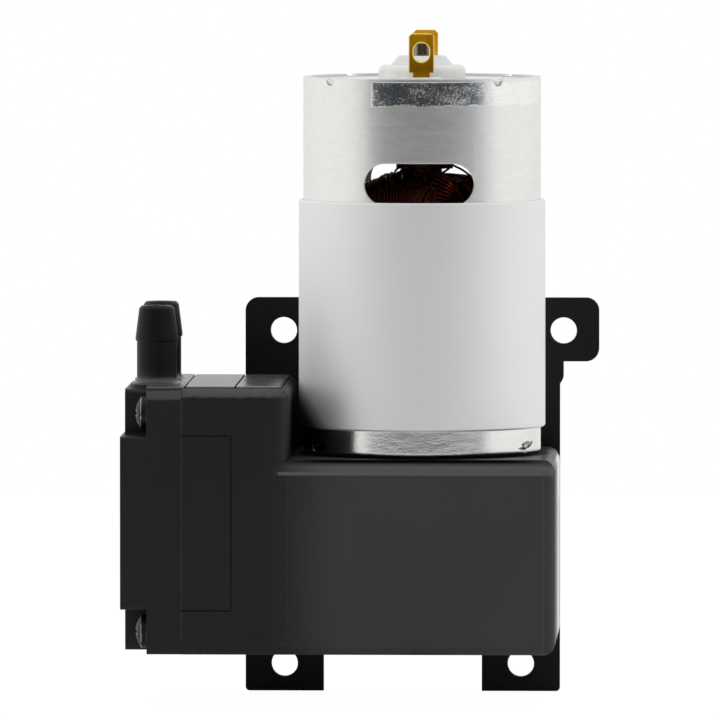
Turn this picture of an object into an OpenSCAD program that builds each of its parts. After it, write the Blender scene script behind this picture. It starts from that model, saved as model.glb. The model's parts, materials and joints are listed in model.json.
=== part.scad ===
// Miniature diaphragm air pump with a brushed DC motor standing on its crankcase.
// Frame: X runs along the pump head's axis (head at -X), Y runs from front to back,
// Z is up. The origin is midway between the two upper mounting holes, on the back
// face of the sheet metal bracket. All sizes are in millimetres.

/* [Mounting bracket] */
// Thickness of the sheet steel
bracket_t = 1.5; // [1:0.1:2.5]
// Distance between the two upper mounting holes
upper_spacing = 42.6; // [40:0.2:46]
// Distance between the two lower mounting holes
lower_spacing = 36; // [32:0.2:38]
// Height of the upper hole row above the lower row
hole_rows = 50.8; // [49:0.2:54]
// How far the lower pair's middle lies to the left of the upper pair's
lower_shift = 3.2; // [2:0.1:4]
// Diameter of the mounting holes
hole_d = 4; // [3:0.1:5]
// Width of each foot
foot_w = 11.9; // [9:0.1:13]
// Foot edge below the lower holes
foot_drop = 4.2; // [3.2:0.1:7]
// Height of the gap between the feet
foot_gap_h = 12.5; // [9:0.5:14]
// Upper edge above the upper holes
ear_rise = 5; // [3.5:0.1:7]
// Height of the right ear
ear_h = 9.7; // [8:0.1:12]
// Right edge of the ear beyond its hole
ear_reach = 5.4; // [4:0.1:7]
// Corner radius of the ears
ear_r = 2; // [0.8:0.1:3]
// Corner radius of the feet
foot_r = 0.6; // [0.3:0.1:2]

/* [Crankcase] */
// Motor axis to the right of the upper holes' middle
motor_x = 0.3; // [-1:0.1:1]
// How far the case reaches beyond the flux ring at the front and the back
case_margin = 1.425; // [1.025:0.1:3.425]
// Height of the tall block behind the pump head
block_h = 40.2; // [39:0.2:44]
// Height of the low housing under the motor
housing_h = 29.3; // [28:0.1:32]
// Motor axis to the right side of the case
case_right_reach = 20.45; // [19.5:0.05:22]
// Gap between the flux ring and the tall block
block_gap = 0.775; // [0.425:0.025:1.4]
// Motor axis to the joint with the pump head
head_reach = 35.4; // [34.5:0.1:38]
// Bottom of the case above the lower holes
case_rise = 3.96; // [3.5:0.02:5]
// Wall of the case
case_wall = 2.6; // [2:0.1:3.5]
// Wall under the motor
deck_t = 3; // [2.5:0.1:3.6]
// Radius on the outer edges
edge_r = 2; // [1:0.1:3]
// Height of the crank plane above the bottom of the case
crank_h = 19.75; // [19.2:0.05:20.5]
// How far the front of the low housing stands proud of the block
pad_t = 0.2; // [0.1:0.05:0.5]
// Height of the slope round the proud front
pad_slope = 0.6; // [0.3:0.05:1]
// How far the lip along the top of the proud front runs on over the block
lip_reach = 2.05; // [1:0.05:3]
// Width of the shallow outline groove on the front
groove_w = 0.35; // [0.2:0.05:0.6]
// Depth of the outline groove
groove_depth = 0.4; // [0.2:0.05:0.8]
// Width of the outlined field on the front
field_w = 7.6; // [5:0.1:9]
// Height of the outlined field on the front
field_h = 26.5; // [20:0.5:30]

/* [Bottom cover] */
// Thickness of the bottom cover
cover_t = 2.2; // [1.8:0.1:3]
// Side of the screw posts in the case corners
post_w = 6.5; // [6:0.1:8]
// Radius of the small screws' shanks
small_screw_r = 1.2; // [1:0.05:1.3]
// Length of the small screws
small_screw_l = 8; // [6.5:0.5:10]

/* [Pump head] */
// Thickness of the head's flange
flange_t = 5.25; // [5.1:0.05:6.5]
// Full thickness of the head
head_t = 9.2; // [9:0.1:11]
// How far the upright arm of the cap stays behind the cross arm
arm_step = 0.4; // [0.2:0.05:0.8]
// Half height of the cap's cross arm
cross_half = 12.95; // [12.5:0.05:13.1]
// Depth of the open corner for each screw, from the front
corner_depth = 7.2; // [6.8:0.1:7.4]
// Radius of the cap's corners
cap_r = 0.8; // [0.4:0.1:1.5]
// Half distance between the upper and the lower head screws
screw_half = 16.35; // [16.2:0.05:16.6]
// Distance of the head screws from the sides of the head
screw_side = 3.65; // [3.4:0.05:3.9]
// Radius of the head screws' shanks
head_screw_r = 1.45; // [1.3:0.05:1.5]
// Length of the head screws under the head
head_screw_l = 14; // [10:0.5:16]
// Radius of the head screws' pan heads
pan_r = 2.52; // [2.2:0.02:2.8]
// Height of the pan heads
pan_h = 1.8; // [1.4:0.1:2.2]

/* [Hose barbs] */
// Distance between the two barbs
barb_spacing = 14.6; // [12:0.2:16]
// Barb axis inside the flange joint
barb_inset = 4.26; // [4:0.02:4.8]
// Height of the barb tips above the top of the block
barb_h = 11.6; // [10:0.1:14]
// Radius of the barb neck
neck_r = 3; // [2.8:0.05:3.1]
// Radius of the barb crest
crest_r = 3.2; // [3.15:0.05:3.5]
// Radius of the barb tip
tip_r = 2.53; // [2.2:0.01:2.7]
// Distance from the tip to the crest
crest_drop = 4.95; // [4:0.05:6]
// Length of the straight land on the crest
crest_land = 0.45; // [0.3:0.05:1.2]
// Radius of the barb bore
barb_bore_r = 1.5; // [1:0.1:1.6]
// Radius of the flare at the foot of the barb
flare_r = 1; // [0.5:0.1:1.4]

/* [Diaphragm and valves] */
// Throw of the eccentric
throw = 1.6; // [1:0.1:1.7]
// Outer radius of the diaphragm
diaphragm_r = 16.3; // [15.8:0.1:16.4]
// Thickness of the diaphragm
diaphragm_t = 1.2; // [0.8:0.1:1.4]
// Radius of the working chamber
chamber_r = 13.4; // [13.3:0.1:13.8]
// Radius of the clamped hub of the diaphragm
hub_r = 7; // [6.8:0.1:7.4]
// Radius of the clamp plate
clamp_r = 6.5; // [6:0.1:6.7]
// Thickness of the clamp plate
clamp_t = 1.4; // [1.2:0.1:1.6]
// Thickness of the valve plate's floor
floor_t = 1.3; // [1.2:0.05:1.6]
// Thickness of the head gasket
gasket_t = 0.5; // [0.4:0.05:0.6]
// Distance of the valves from the pump axis
valve_offset = 10.4; // [10.3:0.05:10.6]
// Width of a valve flap
flap_w = 3.6; // [3.4:0.1:3.8]
// Length of a valve flap
flap_l = 8; // [7:0.1:8.4]
// Thickness of a valve flap
flap_t = 0.4; // [0.3:0.05:0.45]
// Radius of the bead at the root of a flap
bead_r = 0.5; // [0.45:0.01:0.55]
// Radius of the valve ports
port_r = 1.1; // [0.8:0.05:1.3]

/* [Connecting rod and crank] */
// Outer radius of the ball bearing
bearing_r = 8; // [7.8:0.1:8.4]
// Bore radius of the ball bearing
bearing_bore_r = 4; // [3.9:0.05:4.2]
// Width of the ball bearing
bearing_w = 5; // [4.4:0.1:5.4]
// Radius of the balls
ball_r = 1.2; // [1:0.05:1.3]
// Number of balls
ball_count = 9; // [7:1:10]
// Outer radius of the rod's big end
big_end_r = 10.2; // [9.8:0.1:10.6]
// Height of the rod's big end
big_end_h = 6; // [5.6:0.1:6.4]
// Width of the rod's arm
arm_w = 7; // [6:0.1:8]
// Thickness of the rod's arm
arm_t = 4; // [3:0.1:5]
// Thickness of the rod's round head
rod_head_t = 2.5; // [2:0.1:3.5]
// Radius of the eccentric's clamping hub
crank_hub_r = 6; // [5.6:0.1:7]
// Height of the eccentric's clamping hub
crank_hub_h = 6.5; // [6:0.1:7.5]
// Radius of the counterweight
weight_r = 12; // [10:0.1:12.6]
// Thickness of the counterweight
weight_t = 4.6; // [4:0.1:5.4]

/* [Motor] */
// Diameter of the motor can
can_d = 35.8; // [35.4:0.1:36]
// Height of the motor can
can_h = 56.8; // [56:0.1:60]
// Sheet thickness of the motor can
can_wall = 1.2; // [1:0.05:1.3]
// Radius on the lower edge of the can
can_edge_r = 0.8; // [0.5:0.1:1.4]
// Radius of the can's nose
nose_r = 6.5; // [6:0.1:7]
// Height of the can's nose
nose_h = 4.4; // [4:0.1:4.6]
// Sheet thickness of the flux ring
ring_t = 0.675; // [0.6:0.025:0.85]
// Height of the flux ring
ring_h = 34.2; // [33:0.1:36]
// Lower edge of the flux ring above the bottom of the can
ring_rise = 4.1; // [3:0.1:4.6]
// Width of the seam gap at the back of the flux ring
seam_w = 0.8; // [0.4:0.1:2]
// Width of the cooling windows
window_w = 16.3; // [14:0.1:18]
// Height of the cooling windows
window_h = 6.3; // [5.8:0.1:6.6]
// Middle of the cooling windows above the bottom of the can
window_rise = 41; // [40.8:0.1:42]
// Width of the V notches in the can's rim
notch_w = 2.2; // [1.6:0.1:2.8]
// Depth of the V notches in the can's rim
notch_depth = 1.1; // [0.8:0.1:1.4]
// Direction of the first V notch, from the front towards the right
notch_turn = -49; // [-60:1:-30]
// Radius of the arcs stamped near the bottom of the can
stamp_r = 0.8; // [0.6:0.05:1.1]
// Middle of the stamped arcs above the bottom of the can
stamp_rise = 1.6; // [1.5:0.1:2.6]
// Distance between the motor's fixing screws
motor_screw_spacing = 25; // [24.6:0.1:25.6]
// Radius of the motor's fixing screws
motor_screw_r = 1.5; // [1.2:0.05:1.6]

/* [Motor end bell and terminals] */
// Height of the end bell's disc
bell_t = 4; // [3:0.1:4.6]
// How far the end bell lies below the can's rim
bell_sink = 0.4; // [0.2:0.1:0.8]
// Radius of the lower boss
boss_r = 6.55; // [6:0.05:7]
// Top of the lower boss above the rim
boss_rise = 1.7; // [1.5:0.1:2.5]
// Radius of the upper boss at its foot
cap_foot_r = 4.7; // [4.2:0.05:5]
// Radius of the upper boss at its top
cap_top_r = 3.55; // [3.3:0.05:4]
// Height of the upper boss
cap_h = 1.4; // [1.2:0.1:2]
// Distance of each terminal from the motor axis
terminal_offset = 11; // [10.6:0.1:12]
// How far the terminals sit to the right of the motor axis
terminal_shift = 0.2; // [0:0.05:0.4]
// Width of a terminal
terminal_w = 3.8; // [3.4:0.05:4.2]
// Thickness of a terminal
terminal_t = 0.6; // [0.5:0.05:0.8]
// Top of the terminals above the rim
terminal_rise = 6.7; // [6:0.1:8]
// Width of a terminal's neck
terminal_neck_w = 2.5; // [2:0.1:3]
// Width of the hole in a terminal
eye_w = 2.35; // [1.6:0.05:2.6]
// Height of the hole in a terminal
eye_h = 2.85; // [2.6:0.05:3.2]

/* [Motor insides] */
// Radius of the motor shaft
shaft_r = 1.5875; // [1.5:0.0125:1.6]
// How far the shaft stands out of the upper boss
shaft_reach = 2.2; // [1:0.1:3]
// Number of armature poles
pole_count = 3; // [3:1:5]
// Direction of the first pole, from the right towards the back
pole_turn = 60; // [0:5:115]
// Outer radius of the armature
core_r = 11.7; // [11.3:0.1:11.9]
// Height of the armature's stack
core_h = 24; // [22:0.5:26]
// Bottom of the stack above the bottom of the can
core_rise = 11.5; // [11:0.1:12]
// Height of the end turns above and below the stack
turn_h = 6.3; // [5:0.1:6.8]
// How much lower the end turns are at their outer edge
turn_drop = 2.4; // [1:0.1:3.4]
// Inner radius of the magnets
magnet_r = 12.2; // [12.1:0.1:12.6]
// Angle that each magnet covers
magnet_angle = 130; // [110:5:140]
// Radius of the commutator
commutator_r = 3.9; // [3.6:0.1:4.3]
// Reach of the commutator's hooks from the axis
hook_r = 4.65; // [4.5:0.05:5]
// Gap between the commutator and the end bell
commutator_gap = 0.7; // [0.4:0.1:1]
// Width of a brush
brush_w = 4; // [3:0.1:4.6]
// Height of a brush
brush_h = 3.6; // [3:0.1:4]
// Length of a brush
brush_l = 4.2; // [3.4:0.1:5]
// Thickness of a brush arm
leaf_t = 0.4; // [0.3:0.05:0.5]
// Radius of the motor's bushes
bush_r = 3.2; // [2.9:0.05:3.4]
// Height of the motor's bushes
bush_h = 4; // [3.4:0.1:4.2]

/* [Clearances] */
// Running clearance round a shaft or pin
run_gap = 0.05; // [0.02:0.01:0.08]
// Gap round a piece that is assembled into another
fit_gap = 0.1; // [0.05:0.01:0.15]
// Gap in the bore of a piece that is pressed on the shaft
press_gap = 0.03; // [0.03:0.005:0.05]

/* [Hidden] */
$fn = 48;

// A cut runs this far past the faces that it opens
past = 1;

// Places in the frame
can_r = can_d / 2;
ring_r = can_r + ring_t;
case_depth = 2 * (ring_r + case_margin);
axis_y = -(bracket_t + case_depth / 2);
case_back = -bracket_t;
case_front = case_back - case_depth;
lower_z = -hole_rows;
case_bottom = lower_z + case_rise;
block_top = case_bottom + block_h;
deck_z = case_bottom + housing_h;
case_right = motor_x + case_right_reach;
block_right = motor_x - ring_r - block_gap;
joint_x = motor_x - head_reach;
crank_z = case_bottom + crank_h;

// Places in the pump head, counted to the left of the joint
seat_x = joint_x - flange_t;
cap_x = joint_x - head_t;
arm_x = cap_x + arm_step;
wobble_gap = 0.3;
stroke = 2 * throw;
clamp_x = joint_x + throw - clamp_t;
dish_x = clamp_x - stroke - wobble_gap;
plate_x = dish_x - floor_t;
gasket_x = plate_x - gasket_t;
cap_wall = 1.5;
plenum_x = cap_x + cap_wall;
plate_r = diaphragm_r + 0.2;
wall_between = 2;
barb_x = joint_x - barb_inset;

// Places along the motor
bore_r = can_r - can_wall;
rim_z = deck_z + can_h;
window_z = deck_z + window_rise;
bell_z = rim_z - bell_sink - bell_t;
core_z = deck_z + core_rise;
core_top = core_z + core_h;
commutator_z = core_top + turn_h + 1.1;
nose_z = deck_z - nose_h;
shaft_low = crank_z - bearing_w / 2 - crank_hub_h - 1.4;
shaft_top = rim_z + boss_rise + cap_h + shaft_reach;

// Places along the crank
crank_x = motor_x + throw;
hub_top = crank_z - bearing_w / 2 - 0.6;
hub_low = hub_top - crank_hub_h;
weight_low = hub_top - 0.5 - weight_t;

// A rectangle with round corners, from one corner to the other
module round_rect(low, high, r) {
    inner = [high.x - low.x - 2 * r, high.y - low.y - 2 * r];
    union() {
        translate([low.x + r, low.y]) square([inner.x, inner.y + 2 * r]);
        translate([low.x, low.y + r]) square([inner.x + 2 * r, inner.y]);
        for (x = [low.x + r, high.x - r], y = [low.y + r, high.y - r])
            translate([x, y]) circle(r);
    }
}

// A flat outline drawn in X and Z, given a thickness along Y from y_low upwards
module upright(y_low, t) {
    translate([0, y_low + t, 0]) rotate([90, 0, 0]) linear_extrude(t) children();
}

// A flat outline drawn in Y and Z, given a thickness along X from x_low upwards
module sideways(x_low, t) {
    translate([x_low, 0, 0]) rotate([90, 0, 90]) linear_extrude(t) children();
}

// Places its children on the pump head's axis, turned so that Z runs along +X
module on_head(x) {
    translate([x, axis_y, crank_z]) rotate([0, 90, 0]) children();
}

// Places its children on the motor axis at height z
module on_motor(z) {
    translate([motor_x, axis_y, z]) children();
}

// A solid block whose edges are all round, as three round outlines that cross
module soft_box(low, high, r) {
    intersection() {
        translate([0, 0, low.z]) linear_extrude(high.z - low.z)
            round_rect([low.x, low.y], [high.x, high.y], r);
        upright(low.y, high.y - low.y) round_rect([low.x, low.z], [high.x, high.z], r);
        sideways(low.x, high.x - low.x) round_rect([low.y, low.z], [high.y, high.z], r);
    }
}

// The four places of the head screws, as [y, z]
head_screw_spots = [for (sy = [-1, 1], sz = [-1, 1])
    [axis_y + sy * (case_depth / 2 - screw_side), crank_z + sz * screw_half]];

// The four places of the bottom cover's screws, as [x, y]
crank_clear = 3;
cavity_left = motor_x - weight_r - crank_clear;
cavity_right = case_right - case_wall;
cavity_half = case_depth / 2 - case_wall;
cavity_top = deck_z - deck_t;
post_mid = post_w / 2;
cover_left = cavity_left - post_w;
cover_spots = [for (x = [cavity_left - post_mid, cavity_right - post_mid], s = [-1, 1])
    [x, axis_y + s * (cavity_half - post_mid)]];

// The four places of the bracket's screws, as [x, z]
bracket_left = -lower_shift - lower_spacing / 2 - foot_w / 2;
bracket_right = -lower_shift + lower_spacing / 2 + foot_w / 2;
screw_clear = 2;
left_screw_x = bracket_left + small_screw_r + 2.8;
right_screw_x = cavity_right - post_mid;
beside_head_screw = screw_half - head_screw_r - small_screw_r - screw_clear;
bracket_spots = [
    [left_screw_x, crank_z + beside_head_screw], [left_screw_x, crank_z - beside_head_screw],
    [right_screw_x, cavity_top - screw_clear],
    [right_screw_x, case_bottom + small_screw_l + small_screw_r + screw_clear]
];
bracket_screw_depth = 4.6;

module bracket_outline() {
    top = ear_rise;
    feet = lower_z - foot_drop;
    gap_half = (lower_spacing - foot_w) / 2;
    union() {
        round_rect([bracket_left, top - ear_h - 2 * ear_r],
                   [upper_spacing / 2, top], ear_r);
        round_rect([0, top - ear_h], [upper_spacing / 2 + ear_reach, top], ear_r);
        difference() {
            round_rect([bracket_left, feet], [bracket_right, top - ear_r - 1], foot_r);
            translate([-lower_shift - gap_half, feet - past])
                square([2 * gap_half, foot_gap_h + past]);
        }
    }
}

module bracket() {
    color([0.07, 0.07, 0.075])
    difference() {
        upright(case_back, bracket_t) bracket_outline();
        for (s = [-1, 1]) {
            translate([s * upper_spacing / 2, 0, 0]) mounting_hole();
            translate([-lower_shift + s * lower_spacing / 2, 0, lower_z]) mounting_hole();
        }
        for (spot = bracket_spots) translate([spot.x, 0, spot.y])
            rotate([90, 0, 0]) {
                translate([0, 0, -past])
                    cylinder(r = small_screw_r + fit_gap, h = bracket_t + 2 * past);
                countersink(fit_gap);
            }
    }
}

module mounting_hole() {
    translate([0, past, 0]) rotate([90, 0, 0]) cylinder(d = hole_d, h = bracket_t + 2 * past);
}

// The cone under a flush screw's head, pointing along +Z from its face
module countersink(gap) {
    head_r = 1.95 * small_screw_r;
    cone_h = 0.95 * small_screw_r;
    cylinder(r1 = head_r + gap, r2 = small_screw_r + gap, h = cone_h);
}

// A flush screw with a cross recess, pointing along +Z from its face
module flush_screw(length) {
    difference() {
        union() {
            countersink(0);
            cylinder(r = small_screw_r, h = length);
        }
        cross_recess(small_screw_r * 2.2, small_screw_r * 0.45, small_screw_r * 0.7);
    }
}

// The cross in a screw's head, cut from Z = 0 upwards
module cross_recess(span, width, depth) {
    for (turn = [0, 90]) rotate([0, 0, turn])
        translate([-span / 2, -width / 2, -past]) cube([span, width, depth + past]);
}

module bracket_screws() {
    color([0.2, 0.2, 0.21])
    for (spot = bracket_spots) translate([spot.x, 0, spot.y]) rotate([90, 0, 0])
        flush_screw(bracket_t + bracket_screw_depth - 0.4);
}

// The outside of the crankcase: a tall block beside a low housing
module case_outside() {
    soft_box([block_right - 3 * edge_r, case_front, case_bottom],
             [case_right, case_back, deck_z], edge_r);
    intersection() {
        soft_box([joint_x - 2 * edge_r, case_front, case_bottom],
                 [block_right, case_back, block_top], edge_r);
        translate([joint_x, case_front - past, case_bottom - past])
            cube([block_right - joint_x + past, case_depth + 2 * past, block_h + 2 * past]);
    }
    proud_front();
}

// The proud front of the low housing, sloped all round, with a lip that runs on over the block
module proud_front() {
    low = [block_right - 0.2, case_bottom + edge_r + 0.3];
    high = [case_right - 0.8 * edge_r, deck_z - edge_r + 0.2];
    back_y = case_front + 0.5;
    front_y = case_front - pad_t;
    lip_h = pad_slope;
    intersection() {
        union() {
            upright(front_y, pad_t + 0.5) round_rect(low, high, 0.5);
            upright(front_y, pad_t + 0.5)
                round_rect([low.x - lip_reach, high.y - lip_h], [low.x + 1, high.y], lip_h / 2 - 0.01);
        }
        sideways(low.x - lip_reach, high.x - low.x + lip_reach) polygon([
            [back_y, low.y], [case_front, low.y], [front_y, low.y + pad_slope],
            [front_y, high.y - pad_slope], [case_front, high.y], [back_y, high.y]]);
        translate([0, 0, low.y]) linear_extrude(high.y - low.y) polygon([
            [low.x - lip_reach, back_y], [low.x - lip_reach, case_front],
            [low.x - lip_reach, front_y], [high.x - pad_slope, front_y],
            [high.x, case_front], [high.x, back_y]]);
    }
}

// The room for the crank, open at the bottom, with a post in each corner
module crank_room() {
    difference() {
        translate([cavity_left, axis_y - cavity_half, case_bottom - past])
            cube([cavity_right - cavity_left, 2 * cavity_half,
                  cavity_top - case_bottom + past]);
        for (y = [axis_y - cavity_half - past, axis_y + cavity_half - post_w])
            translate([cavity_right - post_w, y, case_bottom + cover_t])
                cube([post_w + past, post_w + past, block_h]);
    }
    translate([cover_left, axis_y - cavity_half, case_bottom - past])
        cube([cavity_right - cover_left, 2 * cavity_half, cover_t + past]);
}

// The way for the connecting rod, from the diaphragm to the crank
module rod_way() {
    rod_way_half_w = arm_w / 2 + throw + 1.5;
    rod_way_half_h = arm_t / 2 + 2.5;
    end_wall = 2.4;
    on_head(joint_x - past) cylinder(r = diaphragm_r + fit_gap, h = diaphragm_t + past);
    on_head(joint_x) cylinder(r = chamber_r + 0.6, h = block_right - end_wall - joint_x);
    translate([block_right - end_wall - past, axis_y - rod_way_half_w,
               crank_z - rod_way_half_h])
        cube([cavity_left - block_right + end_wall + 2 * past, 2 * rod_way_half_w,
              2 * rod_way_half_h]);
}

// The groove that outlines a plain field on the front face
module front_groove() {
    field_z = crank_z - field_h / 2;
    upright(case_front - past, past + groove_depth) difference() {
        translate([joint_x - past, field_z])
            square([field_w + past, field_h]);
        translate([joint_x - 2 * past, field_z + groove_w])
            square([field_w + 2 * past - groove_w, field_h - 2 * groove_w]);
    }
}

// The groove round the flat top of the block, with one line across it
module top_groove() {
    inset = edge_r / 2;
    side_inset = 0.35;
    line_w = 0.25;
    line_depth = 0.5;
    low = [joint_x + side_inset, case_front + inset];
    high = [block_right - inset, case_back - inset];
    translate([0, 0, block_top - line_depth]) linear_extrude(line_depth + past) {
        difference() {
            translate(low) square(high - low);
            translate([low.x + line_w, low.y + line_w])
                square([high.x - low.x - 2 * line_w, high.y - low.y - 2 * line_w]);
        }
        translate([(joint_x + block_right) / 2 - line_w / 2, low.y]) square([line_w, high.y - low.y]);
    }
}

module crankcase() {
    color([0.14, 0.14, 0.145])
    difference() {
        case_outside();
        crank_room();
        rod_way();
        front_groove();
        top_groove();
        on_motor(cavity_top - past) cylinder(r = nose_r + fit_gap, h = deck_t + 2 * past);
        for (s = [-1, 1]) on_motor(cavity_top - past)
            translate([0, s * motor_screw_spacing / 2, 0])
                cylinder(r = motor_screw_r + fit_gap, h = deck_t + 2 * past);
        for (spot = head_screw_spots) translate([joint_x - past, spot.x, spot.y])
            rotate([0, 90, 0])
                cylinder(r = head_screw_r + run_gap, h = head_screw_l - flange_t + 0.5 + past);
        for (spot = cover_spots) translate([spot.x, spot.y, case_bottom])
            cylinder(r = small_screw_r + run_gap, h = small_screw_l + 0.5);
        for (spot = bracket_spots) translate([spot.x, case_back + past, spot.y])
            rotate([90, 0, 0])
                cylinder(r = small_screw_r + run_gap, h = bracket_screw_depth + past);
    }
}

module crankcase_cover() {
    color([0.15, 0.15, 0.155])
    difference() {
        translate([0, 0, case_bottom]) linear_extrude(cover_t - 0.02)
            round_rect([cover_left + fit_gap, axis_y - cavity_half + fit_gap],
                       [cavity_right - fit_gap, axis_y + cavity_half - fit_gap], 0.5);
        for (spot = cover_spots) translate([spot.x, spot.y, case_bottom]) {
            translate([0, 0, -past])
                cylinder(r = small_screw_r + fit_gap, h = cover_t + 2 * past);
            countersink(fit_gap);
        }
    }
}

module cover_screws() {
    color([0.62, 0.62, 0.64])
    for (spot = cover_spots) translate([spot.x, spot.y, case_bottom])
        flush_screw(small_screw_l);
}

// One hose barb, turned about Z, with the top of the flange at Z = 0
module barb() {
    root = 1.4;
    tip_z = barb_h;
    crest_z = tip_z - crest_drop;
    crest_step = 0.2;
    nose_round = 0.4;
    rotate_extrude($fn = 64) union() {
        polygon([
            [0, -root], [neck_r + flare_r, -root], [neck_r + flare_r, 0], [neck_r, 0],
            [neck_r, crest_z - crest_land / 2 - crest_step], [crest_r, crest_z - crest_land / 2],
            [crest_r, crest_z + crest_land / 2],
            [tip_r + 0.12, tip_z - nose_round], [tip_r - 0.25, tip_z], [0, tip_z]]);
        difference() {
            translate([neck_r - 0.1, -0.1]) square(flare_r + 0.1);
            translate([neck_r + flare_r, flare_r]) circle(flare_r);
        }
    }
}

// The outside of the pump head, without its barbs
module head_outside() {
    low_y = case_front;
    high_y = case_back;
    flange_low = case_bottom + 0.1;
    flange_top = block_top;
    arm_top = block_top - 0.7;
    sideways(seat_x, flange_t)
        round_rect([low_y, flange_low], [high_y, flange_top], cap_r);
    sideways(cap_x, head_t - 1)
        round_rect([low_y, crank_z - cross_half], [high_y, crank_z + cross_half], 0.5);
    sideways(arm_x, head_t - arm_step - 1)
        round_rect([low_y + corner_depth, flange_low + 0.2],
                   [high_y - corner_depth, arm_top], cap_r);
}

module head_cover() {
    pocket_half = 2;
    pocket_low = plate_r - 0.3;
    pocket_high = pocket_low + 2.2;
    color([0.135, 0.135, 0.14])
    difference() {
        union() {
            head_outside();
            for (s = [-1, 1]) translate([barb_x, axis_y + s * barb_spacing / 2, block_top])
                barb();
        }
        on_head(gasket_x) cylinder(r = plate_r + fit_gap, h = joint_x - gasket_x + past);
        difference() {
            on_head(plenum_x) cylinder(r = chamber_r, h = gasket_x - plenum_x + past);
            translate([plenum_x - past, axis_y - wall_between / 2, crank_z - chamber_r - past])
                cube([gasket_x - plenum_x + past, wall_between, 2 * chamber_r + 2 * past]);
        }
        for (s = [-1, 1]) translate([0, axis_y + s * barb_spacing / 2, 0]) {
            translate([barb_x, 0, crank_z + pocket_low])
                cylinder(r = barb_bore_r, h = block_h);
            translate([plenum_x, -pocket_half, crank_z + chamber_r - 4])
                cube([gasket_x - plenum_x - 0.01, 2 * pocket_half,
                      pocket_high - chamber_r + 4]);
            translate([plenum_x, -pocket_half, crank_z + pocket_low])
                cube([barb_x - plenum_x, 2 * pocket_half, pocket_high - pocket_low]);
        }
        for (spot = head_screw_spots) translate([seat_x - past, spot.x, spot.y])
            rotate([0, 90, 0])
                cylinder(r = head_screw_r + fit_gap, h = flange_t + 2 * past);
    }
}

module head_screws() {
    dome_h = 0.9;
    dome_r = (pan_r * pan_r + dome_h * dome_h) / (2 * dome_h);
    color([0.12, 0.12, 0.125])
    for (spot = head_screw_spots) translate([seat_x, spot.x, spot.y]) rotate([0, 90, 0])
        difference() {
            union() {
                cylinder(r = head_screw_r, h = head_screw_l);
                intersection() {
                    translate([0, 0, -pan_h]) cylinder(r = pan_r, h = pan_h);
                    translate([0, 0, -pan_h + dome_r]) sphere(dome_r, $fn = 96);
                }
            }
            translate([0, 0, -pan_h]) cross_recess(1.2 * pan_r, 0.6, 1);
        }
}

module head_gasket() {
    color([0.1, 0.1, 0.1])
    on_head(gasket_x) difference() {
        cylinder(r = plate_r - 0.1, h = gasket_t);
        difference() {
            translate([0, 0, -past]) cylinder(r = chamber_r, h = gasket_t + 2 * past);
            translate([-plate_r, -wall_between / 2, -2 * past])
                cube([2 * plate_r, wall_between, gasket_t + 4 * past]);
        }
    }
}

// The groove for the bead of a flap, running along Y
module bead_groove(x, y) {
    translate([x, y - flap_w / 2 - fit_gap, crank_z + flap_l / 2])
        rotate([-90, 0, 0]) cylinder(r = bead_r + run_gap, h = flap_w + 2 * fit_gap);
}

intake_y = axis_y + valve_offset;
exhaust_y = axis_y - valve_offset;
intake_bead_x = dish_x + 0.1;
exhaust_bead_x = plate_x - 0.1;

module valve_plate() {
    color([0.75, 0.75, 0.72])
    difference() {
        on_head(plate_x) cylinder(r = plate_r, h = joint_x - plate_x);
        on_head(dish_x) cylinder(r = chamber_r, h = joint_x - dish_x + past);
        bead_groove(intake_bead_x, intake_y);
        bead_groove(exhaust_bead_x, exhaust_y);
        for (y = [intake_y, exhaust_y], z = [-2.6, 0.6]) translate([plate_x - past, y, crank_z + z])
            rotate([0, 90, 0]) cylinder(r = port_r, h = floor_t + 2 * past);
    }
}

// A flap with a bead along its upper edge; way is 1 when it opens towards +X
module flap(bead_x, face_x, y, way) {
    tongue_x = way > 0 ? face_x : face_x - flap_t;
    tip_round = flap_w / 2 - 0.2;
    union() {
        translate([bead_x, y - flap_w / 2, crank_z + flap_l / 2])
            rotate([-90, 0, 0]) cylinder(r = bead_r, h = flap_w);
        sideways(tongue_x, flap_t) union() {
            translate([y - flap_w / 2, crank_z - flap_l / 2 + tip_round])
                square([flap_w, flap_l - tip_round]);
            translate([y, crank_z - flap_l / 2 + tip_round]) circle(tip_round + 0.2);
        }
    }
}

module intake_flap() {
    color([0.16, 0.16, 0.16]) flap(intake_bead_x, dish_x, intake_y, 1);
}

module exhaust_flap() {
    color([0.16, 0.16, 0.16]) flap(exhaust_bead_x, plate_x, exhaust_y, -1);
}

// The moulded rubber disc, drawn with the crank at its far end of travel
module diaphragm() {
    flat_r = chamber_r - 0.8;
    steps = 8;
    wave = [for (i = [0:steps]) let (u = i / steps)
        [hub_r + (flat_r - hub_r) * u, throw * (1 + cos(180 * u)) / 2]];
    color([0.09, 0.09, 0.09])
    on_head(joint_x) rotate_extrude($fn = 96) polygon(concat(
        [[head_screw_r + fit_gap, throw]], wave,
        [[diaphragm_r, 0], [diaphragm_r, diaphragm_t - 0.02]],
        [for (i = [steps:-1:0]) wave[i] + [0, diaphragm_t - 0.02]],
        [[head_screw_r + fit_gap, throw + diaphragm_t - 0.02]]));
}

clamp_cone_r = 2.9;
clamp_cone_h = 1.1;
clamp_screw_l = 9;

module diaphragm_clamp() {
    color([0.72, 0.73, 0.74])
    on_head(clamp_x) difference() {
        cylinder(r = clamp_r, h = clamp_t);
        translate([0, 0, -past]) cylinder(r = head_screw_r + fit_gap, h = clamp_t + 2 * past);
        cylinder(r1 = clamp_cone_r + fit_gap, r2 = head_screw_r + fit_gap, h = clamp_cone_h);
    }
}

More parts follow.
